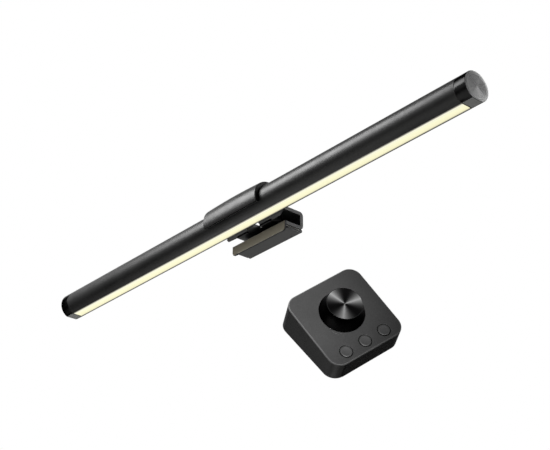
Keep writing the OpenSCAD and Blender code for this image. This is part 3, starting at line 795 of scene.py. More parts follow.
class LIGHTBAR_OT_end_caps(bpy.types.Operator):
    """Builds the two end caps and their turned discs"""

    bl_idname = "light_bar.end_caps"
    bl_label = "End caps"

    rings = 7
    ring_width = 0.35
    ring_depth = 0.15
    ring_slope = 0.05
    disc_thickness = 0.9
    disc_gap = 0.03
    disc_edge = 0.12
    rim = 0.45
    inner_edge = 0.15
    painted_shade_end = 0.95
    glint_pitch = 0.00042
    draw_pitch = 0.0022

    # Painted reflection: lighter and darker fans of the turned face round its middle, from the front over the
    # underside, rear and top
    painted_fan_stops = (
        (0.001, "#3f3f3f"), (0.11, "#494949"), (0.3, "#696969"), (0.39, "#616161"), (0.45, "#484848"),
        (0.52, "#424242"), (0.63, "#4c4c4c"), (0.73, "#464646"), (0.88, "#2c2c2c"), (0.999, "#3f3f3f"),
    )

    def cap(self, bar, side):
        radius, facet = TUBE_R / MM, FACET_Z / MM
        slot_half = math.sqrt(radius**2 - facet**2)
        start, end = bar["tube_length"] / 2, bar["tube_length"] / 2 + bar["cap_length"]
        bm = bmesh.new()
        vert = bm.verts.new((start, slot_half, facet))
        sweep(bm, [vert], math.tau - 2 * math.asin(slot_half / radius), ROUND_STEPS)
        bmesh.ops.contextual_create(bm, geom=[v for v in bm.verts if len(v.link_edges) == 1])
        bmesh.ops.edgeloop_fill(bm, edges=list(bm.edges))
        extrude_all(bm, list(bm.faces), (end - start, 0, 0))
        bmesh.ops.recalc_face_normals(bm, faces=bm.faces)
        outer = edges_at(bm, lambda c: abs(c.x - end) < NEAR)
        facets = edges_at(bm, lambda c: abs(c.z - facet) < NEAR and abs(abs(c.y) - slot_half) < NEAR)
        round_edges(bm, unique(outer + facets), self.rim, 4)
        round_edges(bm, edges_at(bm, lambda c: abs(c.x - start) < NEAR), self.inner_edge, 2)
        # A band of the black chrome is left on the flat between the lit strip and the satin part: painted
        # shade in place of a groove
        painted_shade_end = start + self.painted_shade_end
        everything = list(bm.verts) + list(bm.edges) + list(bm.faces)
        bmesh.ops.bisect_plane(bm, geom=everything, plane_co=(painted_shade_end, 0, 0), plane_no=(1, 0, 0))
        self.recess(bm, bar, end)
        for face in bm.faces:
            face.normal_update()
            centre = face.calc_center_median()
            # Flat faces past the painted shade's end get the satin skin, and the band before it stays black
            if centre.x > end - NEAR:
                face.material_index = 2
            elif abs(face.normal.z) > 0.99 and abs(centre.z - facet) < 10 * NEAR and centre.x > painted_shade_end:
                face.material_index = 1
        if side < 0:
            bm.transform(Matrix.Scale(-1, 4, (1, 0, 0)))
        return bm

    def recess(self, bm, bar, end):
        """The round recess in a cap's end that the disc sits in."""
        end_face = max(bm.faces, key=lambda f: f.calc_center_median().x)
        loop = list(end_face.edges)
        bmesh.ops.delete(bm, geom=[end_face], context="FACES_ONLY")
        turn = Matrix.Rotation(math.pi / 2, 4, "Y")
        ring = bmesh.ops.create_circle(
            bm,
            cap_ends=False,
            segments=ROUND_STEPS,
            radius=bar["disc_radius"] + self.disc_gap,
            matrix=Matrix.Translation((end, 0, 0)) @ turn,
        )
        ring_edges = unique(e for v in ring["verts"] for e in v.link_edges)
        bmesh.ops.triangle_fill(bm, edges=loop + ring_edges, use_beauty=True)
        grown = bmesh.ops.extrude_edge_only(bm, edges=ring_edges)["geom"]
        moved = verts_in(grown)
        bmesh.ops.translate(bm, verts=moved, vec=(bar["disc_proud"] - self.disc_thickness, 0, 0))
        bmesh.ops.edgeloop_fill(bm, edges=[e for e in edges_in(grown) if all(v in moved for v in e.verts)])

    def disc(self, bar, side):
        top = bar["tube_length"] / 2 + bar["cap_length"] + bar["disc_proud"]
        low, bottom = top - self.ring_depth, top - self.disc_thickness
        radius, edge, slope = bar["disc_radius"], self.disc_edge, self.ring_slope
        points = [(bottom, 0, 0), (bottom, radius, 0), (top - edge, radius, 0), (top, radius - edge, 0)]
        pitch = (radius - 1) / (self.rings + 0.5)
        for i in range(self.rings, 0, -1):
            near, far = i * pitch, i * pitch + self.ring_width
            points += [(top, far + slope, 0), (low, far - slope, 0)]
            points += [(low, near + slope, 0), (top, near - slope, 0)]
        points.append((top, 0, 0))
        bm = bmesh.new()
        turn_profile(bm, points, axis=(1, 0, 0))
        if side < 0:
            bm.transform(Matrix.Scale(-1, 4, (1, 0, 0)))
        return bm

    def chrome(self, context):
        plastic, tree = start_material("black_chromed_abs")
        # Moulded ABS with a dark plating: a deep gloss with a sharp-edged highlight
        where = object_coordinates(tree)
        lines = add_node(
            tree,
            "ShaderNodeTexWave",
            {"Vector": where, "Scale": 1 / self.draw_pitch, "Distortion": 0.0},
            wave_type="BANDS",
            bands_direction="X",
        ).outputs[1]
        broad = speckle(tree, where, 0.004)
        return close_material(
            tree,
            plastic,
            shaded(tree, finish_of(context, "cap"), broad, 0.9, 1.1),
            spread(tree, broad, 0.18, 0.26),
            lines,
            0.000004,
            0.5,
            Metallic=1.0,
            Specular_Tint=rgba((0.35,) * 3),
        )

    def turned_metal(self):
        metal, tree = start_material("turned_aluminium_painted_fans")
        # Face-turned on a lathe: fine rings, and fans of reflected light painted into the colour round the
        # middle
        where = object_coordinates(tree)
        centred = add_node(tree, "ShaderNodeVectorMath", {0: where, 1: BAR_AXIS}, operation="SUBTRACT")
        parts = add_node(tree, "ShaderNodeSeparateXYZ", {0: centred}).outputs
        wave = rings(tree, parts[1], parts[2], self.glint_pitch)
        angle = add_node(tree, "ShaderNodeMath", {0: parts[2], 1: parts[1]}, operation="ARCTAN2")
        ramp = add_node(tree, "ShaderNodeValToRGB", {0: spread(tree, angle, 0, 1, -math.pi, math.pi)})
        set_stops(ramp, self.painted_fan_stops)
        glint = shaded(tree, (1, 1, 1), spread(tree, wave, 0, 1, -1, 1), 0.8, 1.12)
        tones = {0: 1.0, 6: ramp.outputs[0], 7: glint}
        tone = add_node(tree, "ShaderNodeMix", tones, data_type="RGBA", blend_type="MULTIPLY").outputs[2]
        rough = spread(tree, speckle(tree, where, 0.002), 0.32, 0.4)
        return close_material(tree, metal, tone, rough, wave, 0.000008, 0.5, Metallic=1.0)

    def execute(self, context):
        bar = in_mm(context.scene.light_bar.bar)
        # Moulded ABS left satin: an even grey without a highlight
        satin = grained("satin_flat_abs", finish_of(context, "facet"), 0.0005, 0.000005, 0.45)
        metal = self.turned_metal()
        skins = (self.chrome(context), satin, metal)
        for side, word in ((1, "right"), (-1, "left")):
            cap, disc = self.cap(bar, side), self.disc(bar, side)
            make_piece(f"cap_{word}", cap, bar_place(), skins, "bar", "cap_black", f"end_cap_{word}")
            make_piece(f"cap_disc_{word}", disc, bar_place(), metal, "bar", "turned_disc", f"end_disc_{word}")
        return {"FINISHED"}


# ---- Cradle and clip ----


class LIGHTBAR_OT_cradle(bpy.types.Operator):
    """Builds the cradle's crowned shell with its two feet, and its lining"""

    bl_idname = "light_bar.cradle"
    bl_label = "Cradle"

    edge = 0.6
    crown_cuts = 14
    sweep_steps = 96
    lining_wall = 0.8
    lining_gap = 0.02
    # The notch between the feet, from its low front edge to its high rear edge
    notch_front = (0.5, -20)
    notch_rear = (24, -1.5)

    # A foot's underside: its front end from the bar's axis, its rear end from the arm's start
    foot_front = (11.2, -10.9)
    foot_rear = (6.5, -7.5)

    def sweep_round(self, bm, face, sizes):
        """Sweeps a section from the rear wrap over the top to the front wrap."""
        angle = math.pi + sizes["front_wrap"] + sizes["rear_wrap"]
        sweep(bm, [face] + list(face.edges) + list(face.verts), angle, self.sweep_steps)

    def shell(self, sizes):
        half = sizes["length"] / 2
        inner, outer = sizes["inner_radius"], sizes["inner_radius"] + sizes["wall"]
        points = [(-half, inner, 0), (-half, outer - self.edge, 0)]
        for i in range(-self.crown_cuts, self.crown_cuts + 1):
            share = i / self.crown_cuts
            points.append((share * (half - self.edge), outer + sizes["crown"] * (1 - share**2), 0))
        points += [(half, outer - self.edge, 0), (half, inner, 0)]
        bm = bmesh.new()
        face = add_face(bm, points)
        turn = Matrix.Rotation(-sizes["rear_wrap"], 3, "X")
        bmesh.ops.rotate(bm, verts=bm.verts, cent=(0, 0, 0), matrix=turn)
        self.sweep_round(bm, face, sizes)
        return bm

    def lining(self, sizes):
        start, length = -math.degrees(sizes["rear_wrap"]), sizes["length"] / 2 - 1
        inner, outer = (sizes["inner_radius"] - gap for gap in (self.lining_wall, self.lining_gap))
        corners = ((inner, -length), (outer, -length), (outer, length), (inner, length))
        bm = bmesh.new()
        self.sweep_round(bm, add_face(bm, [around_x(r, start, x) for r, x in corners]), sizes)
        return bm

    def foot(self, clip, side):
        (front, front_z), (past_arm, rear_z) = self.foot_front, self.foot_rear
        rear, top = clip["arm_start"] + past_arm, -clip["plate"]
        x = side * (clip["notch"] + clip["foot_width"] / 2) - clip["foot_width"] / 2
        bm = bmesh.new()
        add_face(bm, [(x, front, front_z), (x, rear, rear_z), (x, rear, top), (x, front, top)])
        extrude_all(bm, list(bm.faces), (clip["foot_width"], 0, 0))
        bmesh.ops.recalc_face_normals(bm, faces=bm.faces)
        round_edges(bm, edges_at(bm, lambda c: c.z < rear_z + 0.5), 0.6, 3)
        return bm

    def execute(self, context):
        settings = context.scene.light_bar
        sizes, clip = in_mm(settings.cradle), in_mm(settings.clip)
        place = bar_place()

        def notch():
            return block((-clip["notch"], *self.notch_front), (clip["notch"], *self.notch_rear))

        metal = anodised(context, "black_anodised_cradle", 0.36)
        shell = self.shell(sizes)
        shell = make_piece("cradle_body", shell, place, metal, "clip", "anodised_black", "cradle_shell")
        combine(shell, [self.foot(clip, side) for side in (1, -1)], "UNION")
        past = sizes["length"] / 2 + 1
        combine(shell, [rod(sizes["inner_radius"], (-past, 0, 0), (past, 0, 0), 192), notch()])
        soften(shell, 0.22, 2)

        # Moulded silicone: dark and matt, nearly without a highlight
        rubber = grained("silicone_lining", finish_of(context, "rubber"), 0.0005, 0.00001, 0.75)
        sleeve = self.lining(sizes)
        sleeve = make_piece("cradle_lining", sleeve, place, rubber, "clip", "rubber_dark", "cradle_liner")
        combine(sleeve, [notch()])
        soften(sleeve, 0.15, 2)
        return {"FINISHED"}


class LIGHTBAR_OT_bracket(bpy.types.Operator):
    """Builds the bent bracket with its arm, seat and hinge lugs, and the screws"""

    bl_idname = "light_bar.bracket"
    bl_label = "Bracket"

    outer_bend = 3.6
    inner_bend = 0.6
    lip_pad = 0.8
    hinge_radius = 1.6
    notch_depth = 7
    screw_head = 2.5
    # Radius and height of the countersink's and the screw's outlines, from the arm's top
    sink_points = ((0, 1), (2.5, 1), (2.5, -0.3), (1.25, -1.55), (1.25, -4), (0, -4))
    screw_points = (
        (0, -1.1), (0.9, -1.1), (0.9, -0.1), (1.0, -0.02), (2.3, -0.02), (2.45, -0.17),
        (2.45, -0.35), (1.2, -1.6), (1.2, -6.4), (0, -6.4),
    )

    def profile(self, clip):
        x, plate = -clip["width"] / 2, clip["plate"]
        low, rear = -clip["rise"], clip["reach"] + clip["depth"]
        arm, start = clip["arm_start"], clip["reach"] - self.lip_pad
        outline = ((arm, 0), (rear, 0), (rear, low), (start, low), (start, low + plate))
        outline += ((rear - plate, low + plate), (rear - plate, -plate), (arm, -plate))
        bm = bmesh.new()
        verts = list(add_face(bm, [(x, y, z) for y, z in outline]).verts)
        for indices, radius in (((1, 2), self.outer_bend), ((5, 6), self.inner_bend)):
            for index in indices:
                round_corner(bm, verts[index], radius, 10)
        extrude_all(bm, list(bm.faces), (clip["width"], 0, 0))
        return bm

    def at_screws(self, points):
        """The same turned outline at both screws."""
        low, high = bar_box("bracket_screws")
        bm = bmesh.new()
        for side in (-1, 1):
            one = bmesh.new()
            turn_profile(one, [(radius, 0, z) for radius, z in points], steps=48)
            one.transform(Matrix.Translation((side * (high.x - self.screw_head), (low.y + high.y) / 2, 0)))
            pour(bm, one)
        return bm

    def lugs(self, clip, near, far):
        """The two hinge lugs, each a round eye with a web up to the seat."""
        swing = clamp_hinge()
        made = []
        for side in (-1, 1):
            start, end = sorted((side * near, side * far))
            made.append(rod(self.hinge_radius, (start, swing.y, swing.z), (end, swing.y, swing.z)))
            web_top = -clip["rise"] + clip["plate"] / 2
            made.append(block((start, swing.y - self.hinge_radius, swing.z), (end, swing.y, web_top)))
        return made

    def execute(self, context):
        clip = in_mm(context.scene.light_bar.clip)
        coat = powder_coat(context, "black_powder_coat", 0.0006, 0.42)
        bracket = self.profile(clip)
        bracket = make_piece("clip_bracket", bracket, bar_place(), coat, "clip", "clip_black", "bracket")
        far = span("clamp_flap", 0) / MM / 2
        near = far - LUG_WIDTH
        combine(bracket, self.lugs(clip, near, far), "UNION")
        notch_low = (-clip["notch"], 0, -clip["plate"] - 1)
        notch_high = (clip["notch"], clip["arm_start"] + self.notch_depth, 1)
        knuckle = hinge_rod(self.hinge_radius + KNUCKLE_GAP, near)
        pin = hinge_rod(PIN_RADIUS, far + 1, 32)
        sinks = self.at_screws(self.sink_points)
        combine(bracket, [knuckle, pin, block(notch_low, notch_high), sinks])
        soften(bracket, 0.3, 3)

        # Zinc-plated and turned: a light grey metal with small bright edges
        steel = grained("zinc_plated_steel", hex_colour("#9a9ca0"), 0.0003, 0.000003, 0.3, metallic=1.0)
        screws = self.at_screws(self.screw_points)
        make_piece("clip_screws", screws, bar_place(), steel, "clip", "steel", "bracket_screws")
        return {"FINISHED"}


class LIGHTBAR_OT_lip(bpy.types.Operator):
    """Builds the front lip that hooks over the monitor's face"""

    bl_idname = "light_bar.lip"
    bl_label = "Front lip"

    corner = 3.0

    def execute(self, context):
        low, high = bar_box("front_lip")
        corners = ((low.x, low.z), (high.x, low.z), (high.x, high.z), (low.x, high.z))
        bm = bmesh.new()
        for vert in list(add_face(bm, [(x, low.y, z) for x, z in corners]).verts)[:2]:
            round_corner(bm, vert, self.corner, 12)
        extrude_all(bm, list(bm.faces), (0, high.y - low.y, 0))
        # Sprayed satin paint: an even warm grey with a soft highlight. The other faces are near black as
        # painted shade, for the shadow line under the lip
        paint = grained("warm_grey_satin_paint", finish_of(context, "lip"), 0.0005, 0.000008, 0.4)
        edge = grained(
            "lip_edge_painted_shade", finish_of(context, "rubber"), 0.0005, 0.000008, 0.6, Specular_IOR_Level=0.1
        )
        piece = make_piece("lip_plate", bm, bar_place(), (paint, edge), "clip", "lip_grey", "front_lip")
        # The front face takes the paint, and every other face the near-black painted shade
        for polygon in piece.data.polygons:
            polygon.material_index = 0 if polygon.normal.y < -0.9 else 1
        soften(piece, 0.3, 3)
        return {"FINISHED"}


class LIGHTBAR_OT_pads(bpy.types.Operator):
    """Builds the rubber pads of the lip, the seat and the flap"""

    bl_idname = "light_bar.pads"
    bl_label = "Pads"

    def execute(self, context):
        # Moulded nitrile is dark and dull. The seat's silicone is pale and satin, and its pale end also
        # serves as a painted highlight along the seat's edge
        rubber = grained("nitrile_rubber", finish_of(context, "rubber"), 0.0006, 0.00002, 0.8)
        silicone = grained("pale_silicone_painted_highlight", finish_of(context, "silicone"), 0.0006, 0.00001, 0.5)
        for node, body, name, material in (
            ("lip_pad", "clip", "lip_cushion", rubber),
            ("seat_pad", "clip", "seat_cushion", silicone),
            ("flap_pad", "clamp", "flap_cushion", rubber),
        ):
            piece = make_piece(name, block(*bar_box(node)), bar_place(), material, body, "rubber_dark", node)
            soften(piece, 0.2, 2)
        return {"FINISHED"}


class LIGHTBAR_OT_flap(bpy.types.Operator):
    """Builds the sprung clamp flap and its hinge pin, and gives the coil spring its finish"""

    bl_idname = "light_bar.flap"
    bl_label = "Clamp flap"

    thickness = 1.6
    pin_play = 0.06
    spring_bore = 1.2
    spring_half = 7

    def execute(self, context):
        swing = clamp_hinge()
        low, high = bar_box("clamp_flap")
        half, top = high.x, swing.z
        knuckle = half - LUG_WIDTH - KNUCKLE_GAP
        rear = swing.y - self.thickness - KNUCKLE_GAP
        corners = ((half, low.y), (half, rear), (knuckle, rear), (knuckle, swing.y))
        bm = bmesh.new()
        add_face(bm, [(x, y, top) for x, y in (*corners, *((-x, y) for x, y in reversed(corners)))])
        for vert in [v for v in bm.verts if abs(v.co.y - low.y) < MERGE]:
            round_corner(bm, vert, 2.0, 8)
        extrude_all(bm, list(bm.faces), (0, 0, -self.thickness))
        coat = powder_coat(context, "black_powder_coat_flap", 0.0005, 0.45)
        flap = make_piece("flap_plate", bm, bar_place(), coat, "clamp", "clip_black", "clamp_flap")
        combine(flap, [hinge_rod(self.thickness, knuckle)], "UNION")
        pad_low, pad_high = bar_box("flap_pad")
        pin_hole = hinge_rod(PIN_RADIUS + self.pin_play, knuckle + 1, 32)
        spring_room = hinge_rod(self.spring_bore, self.spring_half, 48)
        combine(flap, [pin_hole, spring_room, block(pad_low, pad_high + Vector((0, 0, 1)))])
        soften(flap, 0.25, 3)

        # Drawn and hardened: a grey metal with a clear highlight along the wire
        steel = grained("spring_steel", hex_colour("#a2a4a8"), 0.0003, 0.000003, 0.28, metallic=1.0)
        pin = hinge_rod(PIN_RADIUS, half - 0.5, 32)
        make_piece("flap_pin", pin, bar_place(), steel, "clip", "steel", "hinge_pin")
        dress("flap_spring", steel)
        return {"FINISHED"}


# ---- Controller ----


def rounded_loop(bm, half, corner, z, segments=14):
    """A closed square line with round corners, level at z."""
    face = add_face(bm, [(-half, -half, z), (half, -half, z), (half, half, z), (-half, half, z)])
    for vert in list(face.verts):
        round_corner(bm, vert, corner, segments)
    face = max(bm.faces, key=lambda f: f.calc_area() if abs(f.calc_center_median().z - z) < NEAR else 0)
    return face


class LIGHTBAR_OT_case(bpy.types.Operator):
    """Builds the controller's case with its dial well and button holes"""

    bl_idname = "light_bar.case"
    bl_label = "Controller case"

    wall = 2.0
    button_gap = 0.35
    well_radius = 9.0
    soft = 0.25
    base_edge = 0.3

    def outside(self, ctl, deep, cut_at_base):
        """The outer walls and top, open below, with the loops of the top and of the base."""
        top = ctl["height"]
        bm = bmesh.new()
        face = rounded_loop(bm, ctl["width"] / 2, ctl["corner"], deep)
        extrude_all(bm, [face], (0, 0, top - deep))
        bmesh.ops.recalc_face_normals(bm, faces=bm.faces)
        round_edges(bm, edges_at(bm, lambda c: c.z > top - NEAR), ctl["edge"], 5)
        # The top edge's rounding gets the second, lighter skin: a painted highlight
        for face in bm.faces:
            if top - ctl["edge"] + NEAR < face.calc_center_median().z < top - NEAR:
                face.material_index = 1
        lowest = min(bm.faces, key=lambda f: f.calc_center_median().z)
        bmesh.ops.delete(bm, geom=[lowest], context="FACES_ONLY")
        low_loop = cut_at_base(bm, list(bm.verts) + list(bm.edges) + list(bm.faces))
        top_face = max(bm.faces, key=lambda f: (round(f.calc_center_median().z, 3), f.calc_area()))
        top_loop = list(top_face.edges)
        bmesh.ops.delete(bm, geom=[top_face], context="FACES_ONLY")
        return bm, top_loop, low_loop

    def linings(self, bm, ctl, ceiling):
        """Lines the dial's well and the button holes, and gives their upper and lower edges."""
        top, soft = ctl["height"], self.soft
        holes = [(0, ctl["dial_back"], self.well_radius)]
        hole_radius = ctl["button_radius"] + self.button_gap
        holes += [(step * ctl["button_pitch"], -ctl["button_front"], hole_radius) for step in (-1, 0, 1)]
        upper, lower = [], []
        for x, y, radius in holes:
            before = set(bm.verts)
            lining = bmesh.new()
            points = ((radius + soft, top), (radius + soft * 0.3, top - soft * 0.3), (radius, top - soft))
            turn_profile(lining, [(r, 0, z) for r, z in (*points, (radius, ceiling))], steps=64)
            lining.transform(Matrix.Translation((x, y, 0)))
            pour(bm, lining)
            fresh = [v for v in bm.verts if v not in before]
            for level, into in ((top, upper), (ceiling, lower)):
                at = {v for v in fresh if abs(v.co.z - level) < MERGE}
                into += [e for e in bm.edges if e.verts[0] in at and e.verts[1] in at]
        return upper, lower

    def execute(self, context):
        ctl = in_mm(context.scene.light_bar.controller)
        place = controller_place(context)
        down = (place.to_3x3().inverted() @ Vector(joint("door_off")["axis"])).normalized()
        deep = -ctl["width"] * math.tan(Vector((0, 0, -1)).angle(down))
        ceiling = ctl["height"] - self.wall

        def cut_at_base(bm, geom):
            """Cuts the walls off level with the sloping base, and gives the new edges."""
            cut = bmesh.ops.bisect_plane(
                bm, geom=geom, plane_co=down * -ctl["foot"], plane_no=down, clear_outer=True
            )
            return edges_in(cut["geom_cut"])

        bm, top_loop, low_loop = self.outside(ctl, deep, cut_at_base)
        upper, lower = self.linings(bm, ctl, ceiling)
        bmesh.ops.triangle_fill(bm, edges=top_loop + upper, use_beauty=True)
        inner = rounded_loop(bm, ctl["width"] / 2 - self.wall, ctl["corner"] - self.wall, ceiling)
        inner_loop = list(inner.edges)
        bmesh.ops.delete(bm, geom=[inner], context="FACES_ONLY")
        bmesh.ops.triangle_fill(bm, edges=inner_loop + lower, use_beauty=True)
        low_verts = verts_in(bmesh.ops.extrude_edge_only(bm, edges=inner_loop)["geom"])
        bmesh.ops.translate(bm, verts=low_verts, vec=(0, 0, deep - ceiling))
        walls = unique(f for v in low_verts for f in v.link_faces)
        corners, edges = unique(v for f in walls for v in f.verts), unique(e for f in walls for e in f.edges)
        inner_low = cut_at_base(bm, corners + edges + walls)
        bmesh.ops.triangle_fill(bm, edges=low_loop + inner_low, use_beauty=True)
        round_edges(bm, low_loop, self.base_edge, 2)
        # Spark-eroded moulding: an even dull black, with a painted highlight in a lighter grey along the top
        # edge
        skins = (
            satin_abs(context, "case", "spark_textured_abs", 0.0006, 0.00003, 0.42),
            satin_abs(context, "case_edge_highlight", "abs_edge_painted_highlight", 0.0006, 0.00001, 0.45, 0.15, 0.5),
        )
        shell = make_piece(
            "controller_shell", bm, place, skins, "controller", "case_black", "controller_case"
        )
        even_out(shell)
        return {"FINISHED"}


class LIGHTBAR_OT_dial(bpy.types.Operator):
    """Builds the turned dial: its flared gloss side and its spun metal top"""

    bl_idname = "light_bar.dial"
    bl_label = "Dial"

    gap = 0.6
    steps_up = 16
    flare = 1.5
    wall = 2.0
    chamfer = 0.3
    rim = 0.1
    rim_overlap = 0.25
    dish = 0.3
    # The painted fans of reflected light on the dial's top: how many, their turn and how narrow
    painted_fan_count = 3.0
    painted_fan_turn = math.radians(36)
    painted_fan_narrowing = 3.4
    ring_pitch = 0.00035

    # Shares of the plate's radius and of its dish, from the edge to the middle
    dish_points = ((0.75, 0.45), (0.5, 0.75), (0.25, 0.94), (0, 1))

    def part(self, context, points, name, material, *nodes):
        """Turns one part of the dial about its own axis."""
        bm = bmesh.new()
        turn_profile(bm, [(radius, 0, z) for radius, z in points])
        ctl = in_mm(context.scene.light_bar.controller)
        bmesh.ops.translate(bm, verts=bm.verts, vec=(0, ctl["dial_back"], 0))
        make_piece(name, bm, controller_place(context), material, "knob", "dial_black", *nodes)

    def execute(self, context):
        ctl = in_mm(context.scene.light_bar.controller)
        foot, top_r, base = ctl["dial_foot"], ctl["dial_top"], ctl["height"]
        top, plate = base + ctl["dial_height"], top_r - self.chamfer
        side = []
        for i in range(self.steps_up + 1):
            share = i / self.steps_up
            radius = top_r + (foot - top_r) * (1 - share) ** self.flare
            side.append((radius, base + self.gap + share * (ctl["dial_height"] - self.gap - self.chamfer)))
        inside = [(radius - self.wall, z) for radius, z in reversed(side[:-2])]
        side.append((plate, top - 0.05))
        self.part(context, inside + side, "dial_side", self.lacquer(context), "dial")

        outer, inner = plate + self.rim_overlap, plate - self.rim
        # Cut with a diamond after the spraying: a thin dark line with a hard gleam
        rim = grained("diamond_cut_rim", hex_colour("#242424"), 0.0004, 0.000002, 0.3, metallic=1.0, tint=0.5)
        points = ((0, top - 1.5), (outer, top - 1.5), (outer, top - 0.28), (plate, top - 0.03), (inner, top))
        self.part(context, points, "dial_rim", rim)

        face = [(inner, top - 0.5), (inner, top - 0.01)]
        face += [(plate * across, top - self.dish * down) for across, down in self.dish_points]
        self.part(context, face, "dial_face", self.spun_metal(context))
        return {"FINISHED"}

    def lacquer(self, context):
        made, tree = start_material("piano_black_lacquer")
        # Sprayed and polished: a deep black with sharp reflections
        broad = speckle(tree, object_coordinates(tree, controller_place(context).normalized()), 0.003)
        return close_material(
            tree,
            made,
            shaded(tree, finish_of(context, "dial"), broad, 0.85, 1.15),
            spread(tree, broad, 0.16, 0.22),
            Metallic=1.0,
            Specular_Tint=rgba((0.55,) * 3),
        )

    def spun_metal(self, context):
        made, tree = start_material("spun_aluminium_painted_fans")
        # Spun on a lathe: fine rings, with three bright fans of reflected light painted into the colour by
        # angle from the middle
        where = object_coordinates(tree, controller_place(context).normalized())
        axis = (0, context.scene.light_bar.controller.dial_back, 0)
        centred = add_node(tree, "ShaderNodeVectorMath", {0: where, 1: axis}, operation="SUBTRACT")
        parts = add_node(tree, "ShaderNodeSeparateXYZ", {0: centred}).outputs
        fan = add_node(tree, "ShaderNodeMath", {0: parts[1], 1: parts[0]}, operation="ARCTAN2")
        turned = {0: fan, 1: self.painted_fan_count, 2: self.painted_fan_turn}
        fan = add_node(tree, "ShaderNodeMath", turned, operation="MULTIPLY_ADD")
        fan = add_node(tree, "ShaderNodeMath", {0: fan}, operation="COSINE")
        away = add_node(tree, "ShaderNodeMath", {0: fan}, operation="ARCCOSINE")
        share = spread(tree, away, 1, 0, 0, math.pi)
        painted_fan_peak = add_node(tree, "ShaderNodeMath", {0: share, 1: self.painted_fan_narrowing}, operation="POWER")
        tone = shaded(tree, finish_of(context, "dial_top"), painted_fan_peak, 0.01, 1.0)
        wave = rings(tree, parts[0], parts[1], self.ring_pitch)
        return close_material(tree, made, tone, 0.35, wave, 0.000004, 0.4, Metallic=1.0)


class LIGHTBAR_OT_buttons(bpy.types.Operator):
    """Builds the three round buttons"""

    bl_idname = "light_bar.buttons"
    bl_label = "Buttons"

    round = 0.35
    dish = 0.12
    depth = 3

    # Shares of the rounding, inwards and down, from the side to the top
    round_points = ((0, 1), (0.1, 0.6), (0.4, 0.2), (1, 0))
    # Shares of the button's radius and of its dish, from the edge to the middle
    dish_points = ((0.7, 0.5), (0.35, 0.9), (0, 1))

    def execute(self, context):
        ctl = in_mm(context.scene.light_bar.controller)
        place = controller_place(context)
        # Moulded finer than the case: a smoother satin that sets the buttons off
        plastic = satin_abs(context, "key", "satin_abs_key", 0.0005, 0.00001, 0.4)
        radius, top, soft = ctl["button_radius"], ctl["height"] + ctl["button_proud"], self.round
        points = [(0, top - self.depth), (radius, top - self.depth)]
        points += [(radius - soft * inwards, top - soft * down) for inwards, down in self.round_points]
        points += [(radius * across, top - self.dish * down) for across, down in self.dish_points]
        for step, word in ((-1, "left"), (0, "middle"), (1, "right")):
            bm = bmesh.new()
            turn_profile(bm, [(r, 0, z) for r, z in points], steps=64)
            bmesh.ops.translate(bm, verts=bm.verts, vec=(step * ctl["button_pitch"], -ctl["button_front"], 0))
            make_piece(f"key_cap_{word}", bm, place, plastic, f"key_{word}", "key_black", f"button_{word}")
        return {"FINISHED"}


class LIGHTBAR_OT_underside(bpy.types.Operator):
    """Gives the controller's underside, door and feet their finishes"""

    bl_idname = "light_bar.underside"
    bl_label = "Controller underside"

    def execute(self, context):
        place = controller_place(context).normalized()
        # The base and door are duller than the case's top, and the feet are matt rubber
        plastic = grained(
            "spark_textured_abs_base", finish_of(context, "case"), 0.0006, 0.00003, 0.55, place=place
        )
        rubber = grained("foot_rubber", finish_of(context, "rubber"), 0.0005, 0.00002, 0.8, place=place)
        dress("controller_base", plastic)
        dress("battery_door", plastic)
        dress("controller_feet", rubber)
        return {"FINISHED"}


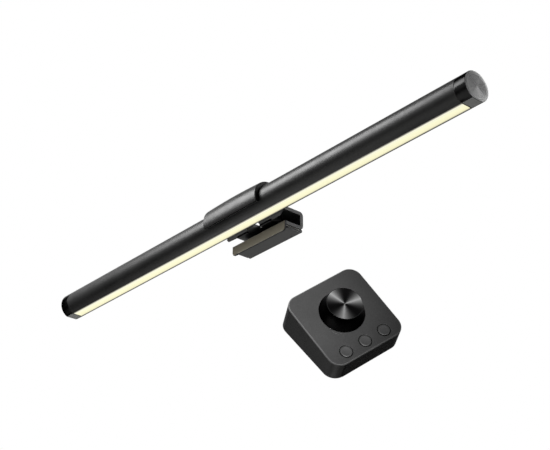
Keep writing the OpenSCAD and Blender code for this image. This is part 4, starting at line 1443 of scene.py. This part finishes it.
class LIGHTBAR_OT_inner_parts(bpy.types.Operator):
    """Gives the boards, cells, switches and other inner parts their finishes"""

    bl_idname = "light_bar.inner_parts"
    bl_label = "Inner parts"

    # Node, material name, colour, grain in mm, roughness, metallic. Masks and moulded parts are
    # dull to satin, and plated cans, contacts and screws are grey metal with a clear highlight
    finishes = (
        ("led_board", "white_solder_mask", "#eeeeea", 0.6, 0.4, 0.0),
        ("led_chips", "phosphor_resin", "#e8c46a", 0.4, 0.5, 0.0),
        ("driver_board", "green_solder_mask", "#1c5231", 0.6, 0.35, 0.0),
        ("driver_parts", "black_epoxy", "#26272a", 0.4, 0.55, 0.0),
        ("radio_board", "tinned_steel_can", "#a8aab0", 0.5, 0.35, 1.0),
        ("usb_c_socket", "nickel_plated_steel", "#b4b7bb", 0.4, 0.3, 1.0),
        ("case_screws", "black_zinc_steel", "#55575b", 0.3, 0.35, 1.0),
        ("batteries", "printed_cell_sleeve", "#4f8f5a", 0.8, 0.35, 0.0),
        ("battery_contacts", "nickel_plated_bronze", "#c9b26a", 0.4, 0.3, 1.0),
        ("controller_board", "green_solder_mask_2", "#1c5231", 0.6, 0.35, 0.0),
        ("dial_encoder", "tinned_encoder_can", "#8e9196", 0.5, 0.35, 1.0),
        ("dial_shaft", "machined_steel", "#a9abb0", 0.3, 0.3, 1.0),
        ("dial_hub", "glass_filled_nylon", "#323336", 0.5, 0.6, 0.0),
        ("button_switches", "switch_housing", "#c7c9cc", 0.4, 0.45, 0.0),
    )

    def execute(self, context):
        for node, name, code, grain, roughness, metallic in self.finishes:
            dress(node, grained(name, hex_colour(code), grain * MM, 0.00001, roughness, metallic=metallic))
        return {"FINISHED"}


# ---- Panel and registration ----


class VIEW3D_PT_light_bar(bpy.types.Panel):
    """Lists the light bar's steps and settings"""

    bl_label = "Light Bar"
    bl_space_type = "VIEW_3D"
    bl_region_type = "UI"
    bl_category = "Light Bar"

    def draw(self, context):
        for one in OPERATORS:
            self.layout.operator(one.bl_idname)
        settings = context.scene.light_bar
        for group in (settings.bar, settings.cradle, settings.clip, settings.controller, settings.finishes):
            box = self.layout.box()
            box.label(text=group.bl_rna.name)
            for name in group.__annotations__:
                box.prop(group, name)


GROUPS = (BarSizes, CradleSizes, ClipSizes, ControllerSizes, Finishes, LightBarSettings)
OPERATORS = (
    LIGHTBAR_OT_stage,
    LIGHTBAR_OT_tube,
    LIGHTBAR_OT_diffuser,
    LIGHTBAR_OT_end_caps,
    LIGHTBAR_OT_cradle,
    LIGHTBAR_OT_bracket,
    LIGHTBAR_OT_lip,
    LIGHTBAR_OT_pads,
    LIGHTBAR_OT_flap,
    LIGHTBAR_OT_case,
    LIGHTBAR_OT_dial,
    LIGHTBAR_OT_buttons,
    LIGHTBAR_OT_underside,
    LIGHTBAR_OT_inner_parts,
)


def register():
    for one in (*GROUPS, *OPERATORS, VIEW3D_PT_light_bar):
        bpy.utils.register_class(one)
    bpy.types.Scene.light_bar = PointerProperty(type=LightBarSettings)


def unregister():
    del bpy.types.Scene.light_bar
    for one in reversed((*GROUPS, *OPERATORS, VIEW3D_PT_light_bar)):
        bpy.utils.unregister_class(one)


def main():
    register()
    for one in OPERATORS:
        group, name = one.bl_idname.split(".")
        getattr(getattr(bpy.ops, group), name)()


if __name__ == "__main__":
    main()
